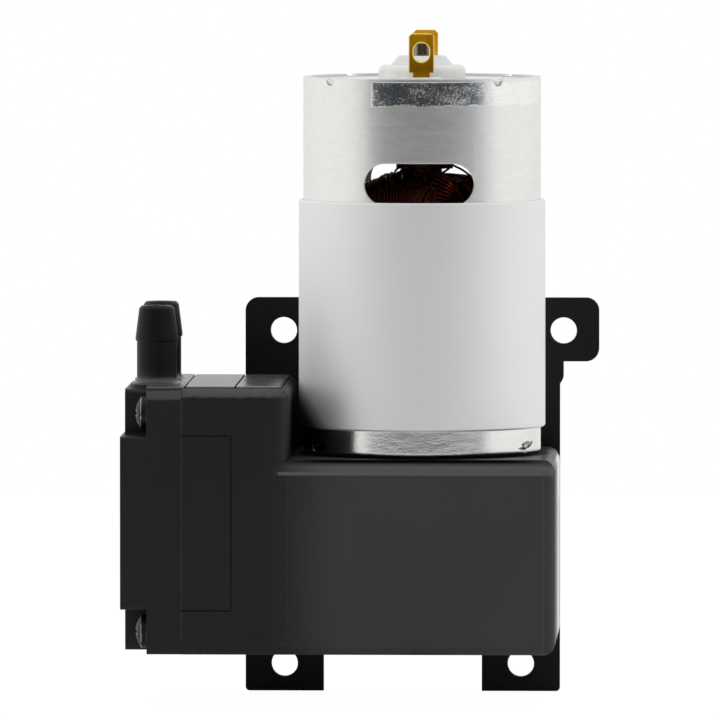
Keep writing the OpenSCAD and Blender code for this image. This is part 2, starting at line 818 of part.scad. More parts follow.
module diaphragm_screw() {
    color([0.6, 0.6, 0.62])
    on_head(clamp_x) difference() {
        union() {
            cylinder(r1 = clamp_cone_r, r2 = head_screw_r, h = clamp_cone_h);
            cylinder(r = head_screw_r, h = clamp_screw_l);
        }
        cross_recess(3.4, 0.6, 0.8);
    }
}

rod_head_x = joint_x + throw + diaphragm_t;

module connecting_rod() {
    arm_low = rod_head_x + rod_head_t - 0.5;
    neck_l = 9;
    color([0.78, 0.78, 0.74])
    difference() {
        union() {
            on_head(rod_head_x) cylinder(r = hub_r, h = rod_head_t);
            on_head(rod_head_x) cylinder(r1 = 5, r2 = 3.2, h = neck_l);
            translate([arm_low, axis_y - arm_w / 2, crank_z - arm_t / 2])
                cube([crank_x - arm_low, arm_w, arm_t]);
            translate([crank_x, axis_y, crank_z - big_end_h / 2])
                cylinder(r = big_end_r, h = big_end_h, $fn = 64);
        }
        translate([crank_x, axis_y, crank_z - big_end_h / 2 - past])
            cylinder(r = bearing_r + fit_gap / 2, h = big_end_h + 2 * past, $fn = 64);
        on_head(rod_head_x - past) cylinder(r = head_screw_r + run_gap, h = clamp_screw_l + past);
    }
}

race_wall = 1.35;
groove_gap = 0.06;

// The track that the balls run in
module ball_track() {
    rotate_extrude($fn = 64) translate([(bearing_r + bearing_bore_r) / 2, 0])
        circle(ball_r + groove_gap);
}

module bearing_outer_race() {
    color([0.75, 0.76, 0.78])
    translate([crank_x, axis_y, crank_z]) difference() {
        translate([0, 0, -bearing_w / 2]) cylinder(r = bearing_r, h = bearing_w, $fn = 64);
        translate([0, 0, -bearing_w / 2 - past])
            cylinder(r = bearing_r - race_wall, h = bearing_w + 2 * past, $fn = 64);
        ball_track();
    }
}

module bearing_inner_race() {
    color([0.75, 0.76, 0.78])
    translate([crank_x, axis_y, crank_z]) difference() {
        translate([0, 0, -bearing_w / 2])
            cylinder(r = bearing_bore_r + race_wall, h = bearing_w, $fn = 64);
        translate([0, 0, -bearing_w / 2 - past])
            cylinder(r = bearing_bore_r, h = bearing_w + 2 * past, $fn = 64);
        ball_track();
    }
}

module bearing_balls() {
    color([0.85, 0.86, 0.88])
    for (i = [0:ball_count - 1]) translate([crank_x, axis_y, crank_z])
        rotate([0, 0, 360 * i / ball_count])
            translate([(bearing_r + bearing_bore_r) / 2, 0, 0]) sphere(ball_r, $fn = 24);
}

set_screw_z = (hub_top + hub_low) / 2;

module eccentric() {
    sector = 150;
    color([0.66, 0.6, 0.42])
    difference() {
        union() {
            translate([crank_x, axis_y, hub_top - 0.5])
                cylinder(r = bearing_bore_r - run_gap, h = bearing_w + 1.4);
            on_motor(hub_low) cylinder(r = crank_hub_r, h = crank_hub_h);
            on_motor(weight_low) linear_extrude(weight_t) intersection() {
                circle(weight_r);
                translate([-2 * weight_r, -weight_r]) square([2 * weight_r, 2 * weight_r]);
                polygon([[0, 0], for (a = [180 - sector / 2 : sector / 6 : 180 + sector / 2])
                    [2 * weight_r * cos(a), 2 * weight_r * sin(a)]]);
            }
        }
        on_motor(hub_low - past) cylinder(r = shaft_r + run_gap, h = crank_hub_h + bearing_w + 4);
        on_motor(set_screw_z) rotate([0, 90, 0])
            cylinder(r = motor_screw_r + run_gap, h = crank_hub_r + past);
    }
}

module set_screw() {
    color([0.2, 0.2, 0.2])
    on_motor(set_screw_z) rotate([0, 90, 0]) translate([0, 0, shaft_r + run_gap]) difference() {
        cylinder(r = motor_screw_r, h = crank_hub_r - shaft_r - 0.4);
        translate([0, 0, crank_hub_r - shaft_r - 1.6]) cylinder(r = 0.85, h = 2, $fn = 6);
    }
}

module motor_shaft() {
    tip = 0.4;
    color([0.75, 0.76, 0.78])
    union() {
        on_motor(shaft_low + tip) cylinder(r = shaft_r, h = shaft_top - shaft_low - 2 * tip);
        on_motor(shaft_low) cylinder(r1 = shaft_r - tip, r2 = shaft_r, h = tip);
        on_motor(shaft_top - tip) cylinder(r1 = shaft_r, r2 = shaft_r - tip, h = tip);
    }
}

// The stadium of a cooling window, drawn about its middle
module window_outline() {
    union() {
        square([window_w - window_h, window_h], center = true);
        for (s = [-1, 1]) translate([s * (window_w - window_h) / 2, 0]) circle(window_h / 2);
    }
}

notch_angles = [for (i = [0:3]) notch_turn + 90 * i];
stamp_angles = [62, 118, 242, 298];

// The V of a rim notch, drawn about its middle, smaller by gap on each side
module notch_outline(gap) {
    half = notch_w / 2 - gap;
    tip = notch_w / 5 - gap;
    polygon([[-half, past], [half, past], [half, 0], [tip, gap - notch_depth],
             [-tip, gap - notch_depth], [-half, 0]]);
}

// One V cut through the can's rim
module rim_notch(angle) {
    rotate([0, 0, angle]) translate([0, 0, rim_z])
        upright(-can_r - past, can_wall + 2 * past) notch_outline(0);
}

// One arc stamped into the outside of the can, open towards the top left
module stamp_mark(angle) {
    groove_r = 0.24;
    sweep = 220;
    rotate([0, 0, angle]) translate([0, -can_r, deck_z + stamp_rise]) rotate([90, 0, 0])
        rotate([0, 0, -sweep + 25])
            rotate_extrude(angle = sweep) translate([stamp_r, 0]) circle(groove_r, $fn = 16);
}

module motor_can() {
    color([0.78, 0.79, 0.8])
    difference() {
        on_motor(0) rotate_extrude($fn = 128) polygon(concat(
            [[bush_r + fit_gap, nose_z], [nose_r - 0.5, nose_z], [nose_r, nose_z + 0.5],
             [nose_r, deck_z]],
            [for (a = [0:15:90]) [can_r - can_edge_r + can_edge_r * sin(a),
                                  deck_z + can_edge_r - can_edge_r * cos(a)]],
            [[can_r, rim_z], [bore_r, rim_z], [bore_r, deck_z + can_wall],
             [nose_r - can_wall, deck_z + can_wall], [nose_r - can_wall, deck_z + can_wall - 0.2],
             [bush_r + fit_gap, deck_z + can_wall - 0.2]]));
        on_motor(window_z) translate([0, 2 * can_r, 0]) rotate([90, 0, 0])
            linear_extrude(4 * can_r) window_outline();
        for (s = [-1, 1]) on_motor(deck_z - past) translate([0, s * motor_screw_spacing / 2, 0])
            cylinder(r = motor_screw_r + run_gap, h = can_wall + 2 * past);
        for (a = notch_angles) on_motor(0) rim_notch(a);
        for (a = stamp_angles) on_motor(0) stamp_mark(a);
    }
}

module flux_ring() {
    edge = 0.25;
    ring_z = deck_z + ring_rise;
    color([0.8, 0.81, 0.82])
    difference() {
        on_motor(0) rotate_extrude($fn = 128) polygon([
            [can_r + 0.02, ring_z], [ring_r - edge, ring_z], [ring_r, ring_z + edge],
            [ring_r, ring_z + ring_h - edge], [ring_r - edge, ring_z + ring_h],
            [can_r + 0.02, ring_z + ring_h]]);
        on_motor(ring_z - past) translate([-seam_w / 2, 0, 0])
            cube([seam_w, 2 * ring_r, ring_h + 2 * past]);
    }
}

// Places its children in the middle of a terminal at height z; way is -1 at the front
module at_terminal(way, z) {
    translate([motor_x + terminal_shift, axis_y + way * terminal_offset, z]) children();
}

// A slot for one terminal through the end bell
module terminal_slot(way) {
    at_terminal(way, bell_z - past)
        translate([-terminal_neck_w / 2 - fit_gap, -terminal_t / 2 - fit_gap, 0])
            cube([terminal_neck_w + 2 * fit_gap, terminal_t + 2 * fit_gap, bell_t + 3]);
}

module end_bell() {
    bell_r = bore_r - fit_gap;
    bell_top = rim_z - bell_sink;
    boss_edge = 1;
    boss_low = bell_top - 0.5;
    boss_h = rim_z + boss_rise - boss_low;
    pad_rise = 0.5;
    key_drop = 0.3;
    shaft_hole_gap = 0.3;
    color([0.9, 0.9, 0.88])
    difference() {
        union() {
            on_motor(bell_z) cylinder(r = bell_r, h = bell_t, $fn = 96);
            on_motor(boss_low) rotate_extrude($fn = 96) intersection() {
                square([boss_r, boss_h]);
                round_rect([-boss_r, -boss_h], [boss_r, boss_h], boss_edge);
            }
            on_motor(rim_z + boss_rise - 0.01) cylinder(r1 = cap_foot_r, r2 = cap_top_r, h = cap_h);
            for (way = [-1, 1]) at_terminal(way, bell_top - 0.5)
                linear_extrude(pad_rise + 0.5) round_rect([-3.1, -1.4], [3.1, 1.4], 1.3);
            for (a = notch_angles) on_motor(rim_z) rotate([0, 0, a]) upright(-can_r + 0.15, 3)
                intersection() {
                    notch_outline(fit_gap);
                    translate([-notch_w, -notch_depth]) square([2 * notch_w, notch_depth - key_drop]);
                }
        }
        terminal_slot(-1);
        terminal_slot(1);
        on_motor(bell_z - past) cylinder(r = bush_r + fit_gap, h = bell_t - 1.2 + past + bush_h);
        on_motor(bell_z) cylinder(r = shaft_r + shaft_hole_gap, h = shaft_top - bell_z);
    }
}

// One brass terminal
module terminal(way) {
    chamfer = 0.5;
    top = rim_z + terminal_rise;
    shoulder = rim_z + 0.8;
    half = terminal_w / 2;
    neck = terminal_neck_w / 2;
    eye_z = (top + shoulder) / 2 + 0.1;
    straight = eye_h - eye_w;
    at_terminal(way, 0) upright(-terminal_t / 2, terminal_t)
    difference() {
        union() {
            polygon([[-half, shoulder], [half, shoulder], [half, top - chamfer],
                     [half - chamfer, top], [-half + chamfer, top], [-half, top - chamfer]]);
            translate([-neck, bell_z - 0.3]) square([2 * neck, shoulder - bell_z + 0.5]);
        }
        union() {
            translate([-eye_w / 2, eye_z - straight / 2]) square([eye_w, straight]);
            for (s = [-1, 1]) translate([0, eye_z + s * straight / 2]) circle(eye_w / 2);
        }
    }
}

module terminal_front() { color([0.72, 0.53, 0.12]) terminal(-1); }

module terminal_rear() { color([0.72, 0.53, 0.12]) terminal(1); }

brush_top = bell_z - 0.8;
brush_low = brush_top - brush_h;
brush_out = commutator_r + run_gap + brush_l;

module brush_arms() {
    foot_low = bell_z - 0.35 - leaf_t;
    color([0.7, 0.5, 0.2])
    for (s = [-1, 1]) on_motor(0) union() {
        translate([-brush_w / 2, s > 0 ? brush_out : -brush_out - leaf_t, brush_low])
            cube([brush_w, leaf_t, foot_low + leaf_t - brush_low]);
        translate([-brush_w / 2, s > 0 ? brush_out : -terminal_offset - 1.2, foot_low])
            cube([brush_w, terminal_offset + 1.2 - brush_out, leaf_t]);
    }
}

module brushes() {
    color([0.13, 0.13, 0.14])
    for (s = [-1, 1]) on_motor(brush_low) difference() {
        translate([-brush_w / 2 + 0.2, s > 0 ? commutator_r - 1 : -brush_out, 0.1])
            cube([brush_w - 0.4, brush_out - commutator_r + 1, brush_h - 0.5]);
        translate([0, 0, -past]) cylinder(r = commutator_r + run_gap, h = brush_h + 2 * past);
    }
}

module magnets() {
    z = core_z - 1.5;
    h = core_h + 3;
    color([0.22, 0.22, 0.23])
    for (s = [0, 180]) on_motor(z) rotate([0, 0, s]) linear_extrude(h) intersection() {
        difference() {
            circle(bore_r - fit_gap, $fn = 96);
            circle(magnet_r, $fn = 96);
        }
        polygon([[0, 0], for (a = [-magnet_angle / 2 : magnet_angle / 4 : magnet_angle / 2])
            [2 * can_r * cos(a), 2 * can_r * sin(a)]]);
    }
}

web_w = 3.4;
core_hub_r = 3.6;
shoe_t = 1.6;

// The outline of one stack sheet, without the shaft's hole
module core_outline() {
    opening = 2.2;
    union() {
        circle(core_hub_r);
        for (i = [0:pole_count - 1]) rotate(360 * i / pole_count + pole_turn)
            translate([0, -web_w / 2]) square([core_r - shoe_t / 2, web_w]);
        difference() {
            circle(core_r, $fn = 96);
            circle(core_r - shoe_t, $fn = 96);
            for (i = [0:pole_count - 1]) rotate(360 * (i + 0.5) / pole_count + pole_turn)
                translate([0, -opening / 2]) square([2 * core_r, opening]);
        }
    }
}

module armature_core() {
    color([0.45, 0.46, 0.48])
    on_motor(core_z) linear_extrude(core_h) difference() {
        core_outline();
        circle(shaft_r + press_gap);
    }
}

module armature_windings() {
    coil_in = core_hub_r + fit_gap;
    coil_out = core_r - shoe_t - 0.15;
    coil_half = coil_in * tan(180 / pole_count) - 0.2;
    wire_gap = 0.12;
    whole_h = core_h + 2 * turn_h;
    color([0.36, 0.13, 0.07])
    for (i = [0:pole_count - 1]) on_motor(core_z - turn_h)
        rotate([0, 0, 360 * i / pole_count + pole_turn]) difference() {
            intersection() {
                rotate_extrude($fn = 96) polygon([
                    [0, 0], [coil_in + 1, 0], [coil_out, turn_drop],
                    [coil_out, whole_h - turn_drop], [coil_in + 1, whole_h], [0, whole_h]]);
                translate([coil_in, -coil_half, 0]) cube([coil_out, 2 * coil_half, whole_h]);
            }
            translate([0, -web_w / 2 - wire_gap, turn_h - wire_gap])
                cube([core_r, web_w + 2 * wire_gap, core_h + 2 * wire_gap]);
        }
}

// The segments stand on a moulded neck; each has a hook for the wires
module commutator() {
    commutator_h = bell_z - commutator_gap - commutator_z;
    neck_r = 3;
    slit = 0.4;
    hook_w = 1.2;
    hook_h = 0.7;
    color([0.62, 0.38, 0.24])
    difference() {
        union() {
            on_motor(commutator_z) cylinder(r = commutator_r, h = commutator_h);
            on_motor(core_top) cylinder(r = neck_r, h = commutator_z - core_top + 0.1);
            for (i = [0:pole_count - 1]) on_motor(commutator_z)
                rotate([0, 0, 360 * (i + 0.5) / pole_count + pole_turn])
                    translate([neck_r, -hook_w / 2, 0]) cube([hook_r - neck_r, hook_w, hook_h]);
        }
        on_motor(core_top - past)
            cylinder(r = shaft_r + press_gap, h = commutator_z - core_top + commutator_h + 2 * past);
        for (i = [0:pole_count - 1]) on_motor(commutator_z - past)
            rotate([0, 0, 360 * i / pole_count + pole_turn])
                translate([commutator_r - 0.6, -slit / 2, 0])
                    cube([hook_r, slit, commutator_h + 2 * past]);
    }
}

// One sintered bush standing on z
module bush(z) {
    color([0.6, 0.45, 0.25])
    on_motor(z) difference() {
        cylinder(r = bush_r, h = bush_h);
        translate([0, 0, -past]) cylinder(r = shaft_r + run_gap, h = bush_h + 2 * past);
    }
}

upper_bush_z = rim_z - bell_sink - 1.4;

module lower_bush() { bush(nose_z + 0.3); }

module upper_bush() { bush(upper_bush_z); }

module thrust_washers() {
    washer_t = 0.5;
    color([0.85, 0.83, 0.7])
    for (z = [nose_z + 0.3 + bush_h + 0.1, upper_bush_z - 0.1 - washer_t]) on_motor(z) difference() {
        cylinder(r = bush_r - 0.4, h = washer_t);
        translate([0, 0, -past]) cylinder(r = shaft_r + 0.02, h = washer_t + 2 * past);
    }
}

module motor_screws() {
    screw_head_r = 2.6;
    screw_head_h = 1.8;
    color([0.6, 0.6, 0.62])
    for (s = [-1, 1]) on_motor(cavity_top) translate([0, s * motor_screw_spacing / 2, 0])
        difference() {
            union() {
                cylinder(r = motor_screw_r, h = deck_t + can_wall + 0.8);
                translate([0, 0, -screw_head_h]) cylinder(r = screw_head_r, h = screw_head_h);
            }
            translate([0, 0, -screw_head_h]) cross_recess(2.8, 0.6, 0.9);
        }
}

bracket();
bracket_screws();
crankcase();
crankcase_cover();
cover_screws();
head_cover();
head_screws();
head_gasket();
valve_plate();
intake_flap();
exhaust_flap();
diaphragm();
diaphragm_clamp();
diaphragm_screw();
connecting_rod();
bearing_outer_race();
bearing_balls();
bearing_inner_race();
eccentric();
set_screw();
motor_shaft();
motor_can();
flux_ring();
end_bell();
terminal_front();
terminal_rear();
brush_arms();
brushes();
magnets();
armature_core();
armature_windings();
commutator();
lower_bush();
upper_bush();
thrust_washers();
motor_screws();
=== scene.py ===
"""Looks of the mini air pump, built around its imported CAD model. Metres, +Z up."""
import json
import math
import random

import bmesh
import bpy
from mathutils import Matrix, Vector


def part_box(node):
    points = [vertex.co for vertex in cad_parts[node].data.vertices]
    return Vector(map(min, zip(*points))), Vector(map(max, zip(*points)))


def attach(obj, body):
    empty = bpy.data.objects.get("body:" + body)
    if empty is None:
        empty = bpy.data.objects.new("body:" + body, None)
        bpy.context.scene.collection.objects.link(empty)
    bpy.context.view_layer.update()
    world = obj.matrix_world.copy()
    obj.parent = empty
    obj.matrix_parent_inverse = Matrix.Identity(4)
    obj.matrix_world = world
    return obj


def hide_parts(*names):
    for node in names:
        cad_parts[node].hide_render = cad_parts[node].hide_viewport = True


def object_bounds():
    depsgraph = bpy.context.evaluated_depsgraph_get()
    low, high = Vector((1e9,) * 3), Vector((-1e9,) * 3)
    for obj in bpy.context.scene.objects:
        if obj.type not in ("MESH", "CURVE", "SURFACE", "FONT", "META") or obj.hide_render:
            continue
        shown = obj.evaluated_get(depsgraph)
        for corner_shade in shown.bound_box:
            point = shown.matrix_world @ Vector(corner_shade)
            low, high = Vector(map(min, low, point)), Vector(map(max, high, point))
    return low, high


MM = 0.001
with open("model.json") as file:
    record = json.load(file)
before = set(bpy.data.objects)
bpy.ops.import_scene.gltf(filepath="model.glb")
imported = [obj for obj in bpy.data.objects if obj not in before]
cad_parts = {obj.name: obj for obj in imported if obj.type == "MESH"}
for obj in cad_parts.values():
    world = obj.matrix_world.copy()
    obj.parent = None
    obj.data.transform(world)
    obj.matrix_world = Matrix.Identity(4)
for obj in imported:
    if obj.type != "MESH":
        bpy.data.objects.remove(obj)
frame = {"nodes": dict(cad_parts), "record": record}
cad_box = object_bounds()
nodes = frame["nodes"]

# Places taken from the frame
can_low, can_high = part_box("motor_can")
ring_low, ring_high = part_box("flux_ring")
case_low, case_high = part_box("crankcase")
core_low, core_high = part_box("armature_core")
hook_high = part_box("commutator")[1]
front_terminal_low, front_terminal_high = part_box("terminal_front")
MOTOR_X = (ring_low.x + ring_high.x) / 2
MOTOR_Y = (ring_low.y + ring_high.y) / 2
CAN_R = (can_high.x - can_low.x) / 2
RIM_Z = can_high.z
DECK_Z = ring_low.z - 4.1 * MM

# Places on the case
BLOCK_RIGHT = ring_low.x - 2.4 * MM
PANEL_RIGHT = case_high.x - 1.75 * MM
LIP_LINE_Z = DECK_Z - 1.8 * MM
LIP_FOOT_Z = DECK_Z - 2.3 * MM
COVER_DROP = 0.35 * MM

# Places on the motor can
CAN_SEAM_X = MOTOR_X - 7.05 * MM
BAND_FOOT_Z = RIM_Z - 4.0 * MM
STAMP_ANGLE = math.radians(62)
STAMP_Z = DECK_Z + 1.8 * MM
STAMP_HALF_W = 1.7 * MM
STAMP_HALF_H = 0.65 * MM
STAMP_SLANT = 0.35

# The eye of the front terminal
EYE_R = 1.175 * MM
EYE_STRAIGHT = 0.5 * MM
EYE_Z = front_terminal_high.z - 2.85 * MM


class Signal:
    """A node's socket, so that shader maths reads as plain expressions."""

    def __init__(self, tree, socket):
        self.tree = tree
        self.socket = socket

    def maths(self, operation, first, second):
        return add_node(self.tree, "Math", {"operation": operation}, {0: first, 1: second})

    def __add__(self, other):
        return self.maths("ADD", self, other)

    def __sub__(self, other):
        return self.maths("SUBTRACT", self, other)

    def __rsub__(self, other):
        return self.maths("SUBTRACT", other, self)

    def __mul__(self, other):
        return self.maths("MULTIPLY", self, other)

    def __truediv__(self, other):
        return self.maths("DIVIDE", self, other)

    def __abs__(self):
        return self.maths("ABSOLUTE", self, 0.0)

    __radd__ = __add__
    __rmul__ = __mul__


def add_node(tree, kind, settings=None, inputs=None, output=0):
    """Adds one shader node and returns one of its outputs."""
    node = tree.nodes.new("ShaderNode" + kind)
    for name, value in (settings or {}).items():
        setattr(node, name, value)
    for name, value in (inputs or {}).items():
        plug(tree, node.inputs[name], value)
    return Signal(tree, node.outputs[output])


def plug(tree, socket, value):
    """Links a signal to a socket, or sets the socket's own value."""
    if isinstance(value, Signal):
        tree.links.new(value.socket, socket)
    elif isinstance(value, tuple) and len(value) == 3 and socket.type == "RGBA":
        socket.default_value = (*value, 1.0)
    else:
        socket.default_value = value


def smooth_step(tree, value, low, high):
    """0 below low, 1 above high, smooth between."""
    return add_node(tree, "MapRange", {"interpolation_type": "SMOOTHSTEP"},
                    {"Value": value, "From Min": low, "From Max": high})


class Finish:
    """A material: its shader and the nodes that feed it. Lengths are in metres."""

    def __init__(self, name, constants):
        self.material = bpy.data.materials.new(name)
        self.material.use_nodes = True
        self.tree = self.material.node_tree
        self.shader = self.tree.nodes["Principled BSDF"]
        self.feed(constants)

    def feed(self, sockets):
        for name, value in sockets.items():
            plug(self.tree, self.shader.inputs[name], value)

    def node(self, kind, settings=None, inputs=None, output=0):
        return add_node(self.tree, kind, settings, inputs, output)

    def axis(self, name):
        """One object coordinate."""
        return self.node("SeparateXYZ", inputs={0: self.node("TexCoord", output="Object")}, output=name)

    def noise(self, per_metre, detail=3.0, stretch=(1, 1, 1), roughness=0.5):
        """Cloudy noise from 0 to 1, with about per_metre blotches to the metre, more along a stretch."""
        raw = self.node("TexCoord", output="Object")
        place = self.node("Mapping", inputs={"Vector": raw, "Scale": stretch})
        return self.node("TexNoise", inputs={
            "Vector": place, "Scale": per_metre, "Detail": detail, "Roughness": roughness})

    def step(self, value, low, high):
        """0 below low, 1 above high, smooth between."""
        return smooth_step(self.tree, value, low, high)

    def fade(self, value, low, high):
        """1 below low, 0 above high, smooth between."""
        return 1 - self.step(value, low, high)

    def larger(self, first, *others):
        """The largest of some values."""
        for other in others:
            first = self.node("Math", {"operation": "MAXIMUM"}, {0: first, 1: other})
        return first

    def distance(self, across, up):
        """How far a place is that lies so far across and up."""
        return self.node("Math", {"operation": "SQRT"}, {0: across * across + up * up})

    def from_motor_axis(self):
        """Distance from the motor's axis."""
        return self.distance(self.axis("X") - MOTOR_X, self.axis("Y") - MOTOR_Y)

    def blend(self, factor, first, second):
        """Mixes two colours."""
        return self.node("Mix", {"data_type": "RGBA"}, {0: factor, 6: first, 7: second}, output=2)

    def sharp_edges(self, radius):
        """1 within about radius of a sharp edge, 0 on flat and smooth stretches."""
        rounded = self.node("Bevel", {"samples": 4}, {"Radius": radius})
        plain = self.node("NewGeometry", output="Normal")
        same = self.node("VectorMath", {"operation": "DOT_PRODUCT"}, {0: rounded, 1: plain}, output="Value")
        return self.fade(same, 0.9, 0.985)

    def relief(self, height, depth, edge=0.0):
        """Feeds the normal with a bump of that depth, over edges rounded by edge."""
        inputs = {"Height": height, "Distance": depth, "Strength": 1.0}
        if edge:
            inputs["Normal"] = self.node("Bevel", {"samples": 4}, {"Radius": edge})
        self.feed({"Normal": self.node("Bump", inputs=inputs)})


def moulded_plastic():
    """Black moulding: fine eroded grain and pale wear on sharp edges, glossy on its top and right. Painted
    light makes the housing and the top paler, painted highlights mark the lip, and painted shadow lies
    round the can.
    """
    finish = Finish("moulded_black_plastic", {"Specular IOR Level": 0.32})
    across, along, height = (finish.axis(name) for name in "XYZ")
    cloud = finish.noise(90, 4.0)
    blotch = finish.noise(700, 3.0)
    grain = finish.noise(5200, 2.0)

    # The housing under the motor, the head's cover and barbs, and the faces of the case
    housing = finish.step(across, ring_low.x - 5 * MM, ring_low.x + 8 * MM)
    on_cover = finish.fade(across, case_low.x - 0.1 * MM, case_low.x + 0.05 * MM)
    barbs = finish.step(height, case_high.z + 1.0 * MM, case_high.z + 2.5 * MM)
    on_top = (finish.step(height, case_high.z - 0.3 * MM, case_high.z - 0.1 * MM)
              * finish.fade(height, case_high.z + 0.4 * MM, case_high.z + 1.2 * MM))
    on_front = finish.fade(along, case_low.y + 1.0 * MM, case_low.y + 1.6 * MM)
    on_side = (finish.step(across, case_high.x - 0.5 * MM, case_high.x - 0.2 * MM)
               * finish.step(along, case_low.y + 2 * MM, case_low.y + 28 * MM))
    beside_panel = finish.step(across, PANEL_RIGHT, PANEL_RIGHT + 0.2 * MM)

    # Painted highlights, pale: the housing's lip, the block's shoulder, the lines beside the panel and the
    # cover; and pale wear on sharp edges
    lip_line_highlight = (finish.fade(height, LIP_LINE_Z - 0.05 * MM, LIP_LINE_Z + 0.05 * MM)
                * finish.step(across, BLOCK_RIGHT - 0.1 * MM, BLOCK_RIGHT + 0.1 * MM)
                * (1 - beside_panel))
    lip_shoulder_highlight = finish.fade(height, DECK_Z - 1.2 * MM, DECK_Z - 0.65 * MM) * housing
    lip_highlight = (finish.larger(lip_line_highlight, lip_shoulder_highlight) * on_front
           * finish.step(height, LIP_FOOT_Z - 0.1 * MM, LIP_FOOT_Z + 0.1 * MM))
    below_top = case_high.z - height - on_cover * COVER_DROP + (blotch - 0.5) * (0.7 * MM)
    shoulder_highlight = (finish.step(below_top, 0.15 * MM, 0.3 * MM) * finish.fade(below_top, 1.25 * MM, 1.8 * MM)
                * on_front * (1 - housing))
    panel_line_highlight = finish.fade(abs(across - PANEL_RIGHT), 0.12 * MM, 0.3 * MM) * on_front
    seam_highlight = (finish.fade(abs(across - case_low.x), 0.05 * MM, 0.12 * MM)
            * finish.fade(along, case_low.y + 0.1 * MM, case_low.y + 0.3 * MM)
            * finish.step(finish.noise(900, 3.0), 0.4, 0.6))
    brightened = finish.sharp_edges(0.14 * MM) * (0.1 + cloud * 0.4)
    highlights_and_wear = finish.larger(lip_highlight, seam_highlight * 0.55, panel_line_highlight * 0.15, shoulder_highlight * 0.75, brightened)

    # Painted shadow, dark: the seat round the can, and the crest of the deck in front of it
    from_can = finish.from_motor_axis() - CAN_R
    seat_shade = finish.fade(from_can, 0.7 * MM, 1.5 * MM) * (1 - on_top)
    crest_shadow = (finish.step(height, DECK_Z - 0.75 * MM, DECK_Z - 0.3 * MM)
             * finish.fade(height, DECK_Z - 0.06 * MM, DECK_Z - 0.02 * MM)
             * finish.fade(along, case_low.y + 2.2 * MM, case_low.y + 2.6 * MM)
             * finish.fade(from_can, 5 * MM, 12 * MM))
    painted_shade = finish.larger(seat_shade, crest_shadow)

    # Painted light: the housing is painted paler than the block for the brighter light on its faces, and a
    # little less pale right of the panel as painted shade on its edge
    dark = finish.blend(cloud, (0.0035, 0.0035, 0.0036), (0.0056, 0.0055, 0.0055))
    pale = finish.blend(cloud, (0.0252, 0.025, 0.0247), (0.035, 0.0347, 0.0342))
    sides = finish.blend(housing - beside_panel * on_front * 0.2, dark, pale)
    # Painted sheen: the top is painted paler for the light it reflects
    body = finish.blend(on_top, sides, (0.062, 0.061, 0.06))
    # The painted highlights and the edge wear go pale into the colour
    rubbed_and_highlit = finish.blend(highlights_and_wear, body, (0.074, 0.072, 0.068))
    # Metallic takes the pale gloss off the crest, to finish its painted shadow, and half of it off the
    # barbs
    finish.feed({
        "Base Color": finish.blend(painted_shade, rubbed_and_highlit, (0.001, 0.001, 0.001)),
        "Metallic": finish.larger(crest_shadow, barbs * 0.45),
        "Roughness": 0.36 + cloud * 0.12 + grain * 0.06 - on_top * 0.18 - on_side * 0.4 + painted_shade * 0.4,
    })
    finish.relief(grain + blotch * 0.6, 0.006 * MM, 0.18 * MM)
    return finish.material


def black_paint():
    """Bracket: satin black paint with a faint orange peel and a few dust specks."""
    finish = Finish("satin_black_paint", {"Specular IOR Level": 0.27})
    peel = finish.noise(1500, 2.0)
    cloud = finish.noise(60, 3.0)
    dust = finish.step(finish.noise(2600, 1.0), 0.77, 0.8)
    finish.feed({
        "Base Color": finish.blend(dust * 0.5, (0.0018, 0.0018, 0.002), (0.03, 0.03, 0.03)),
        "Roughness": 0.34 + cloud * 0.16,
    })
    finish.relief(peel, 0.008 * MM, 0.2 * MM)
    return finish.material


def stamped_marks(finish, patch):
    """The slanted marks stamped near the bottom of the can, left and right of its front and its rear."""
    across = finish.axis("X") - MOTOR_X
    along = finish.axis("Y") - MOTOR_Y
    beside_mark = abs(across) * math.cos(STAMP_ANGLE) - abs(along) * math.sin(STAMP_ANGLE)
    up = (finish.axis("Z") - STAMP_Z) / STAMP_HALF_H
    slanted = beside_mark / STAMP_HALF_W - up * STAMP_SLANT
    from_mark = finish.distance(slanted, up)
    lower_side = finish.step(slanted - up * 1.3, 0.0, 0.5)
    dent = finish.fade(abs(from_mark - 1), 0.18, 0.4) * lower_side
    middle = finish.fade(from_mark + patch * 0.5, 0.85, 1.0) * (0.8 - lower_side * 0.4)
    # Painted shade darkens the left ones, which lie in the dark
    left_shade = finish.fade(from_mark, 1.5, 1.9) * finish.fade(across, -1 * MM, 0.0)
    return finish.larger(dent, middle, left_shade)


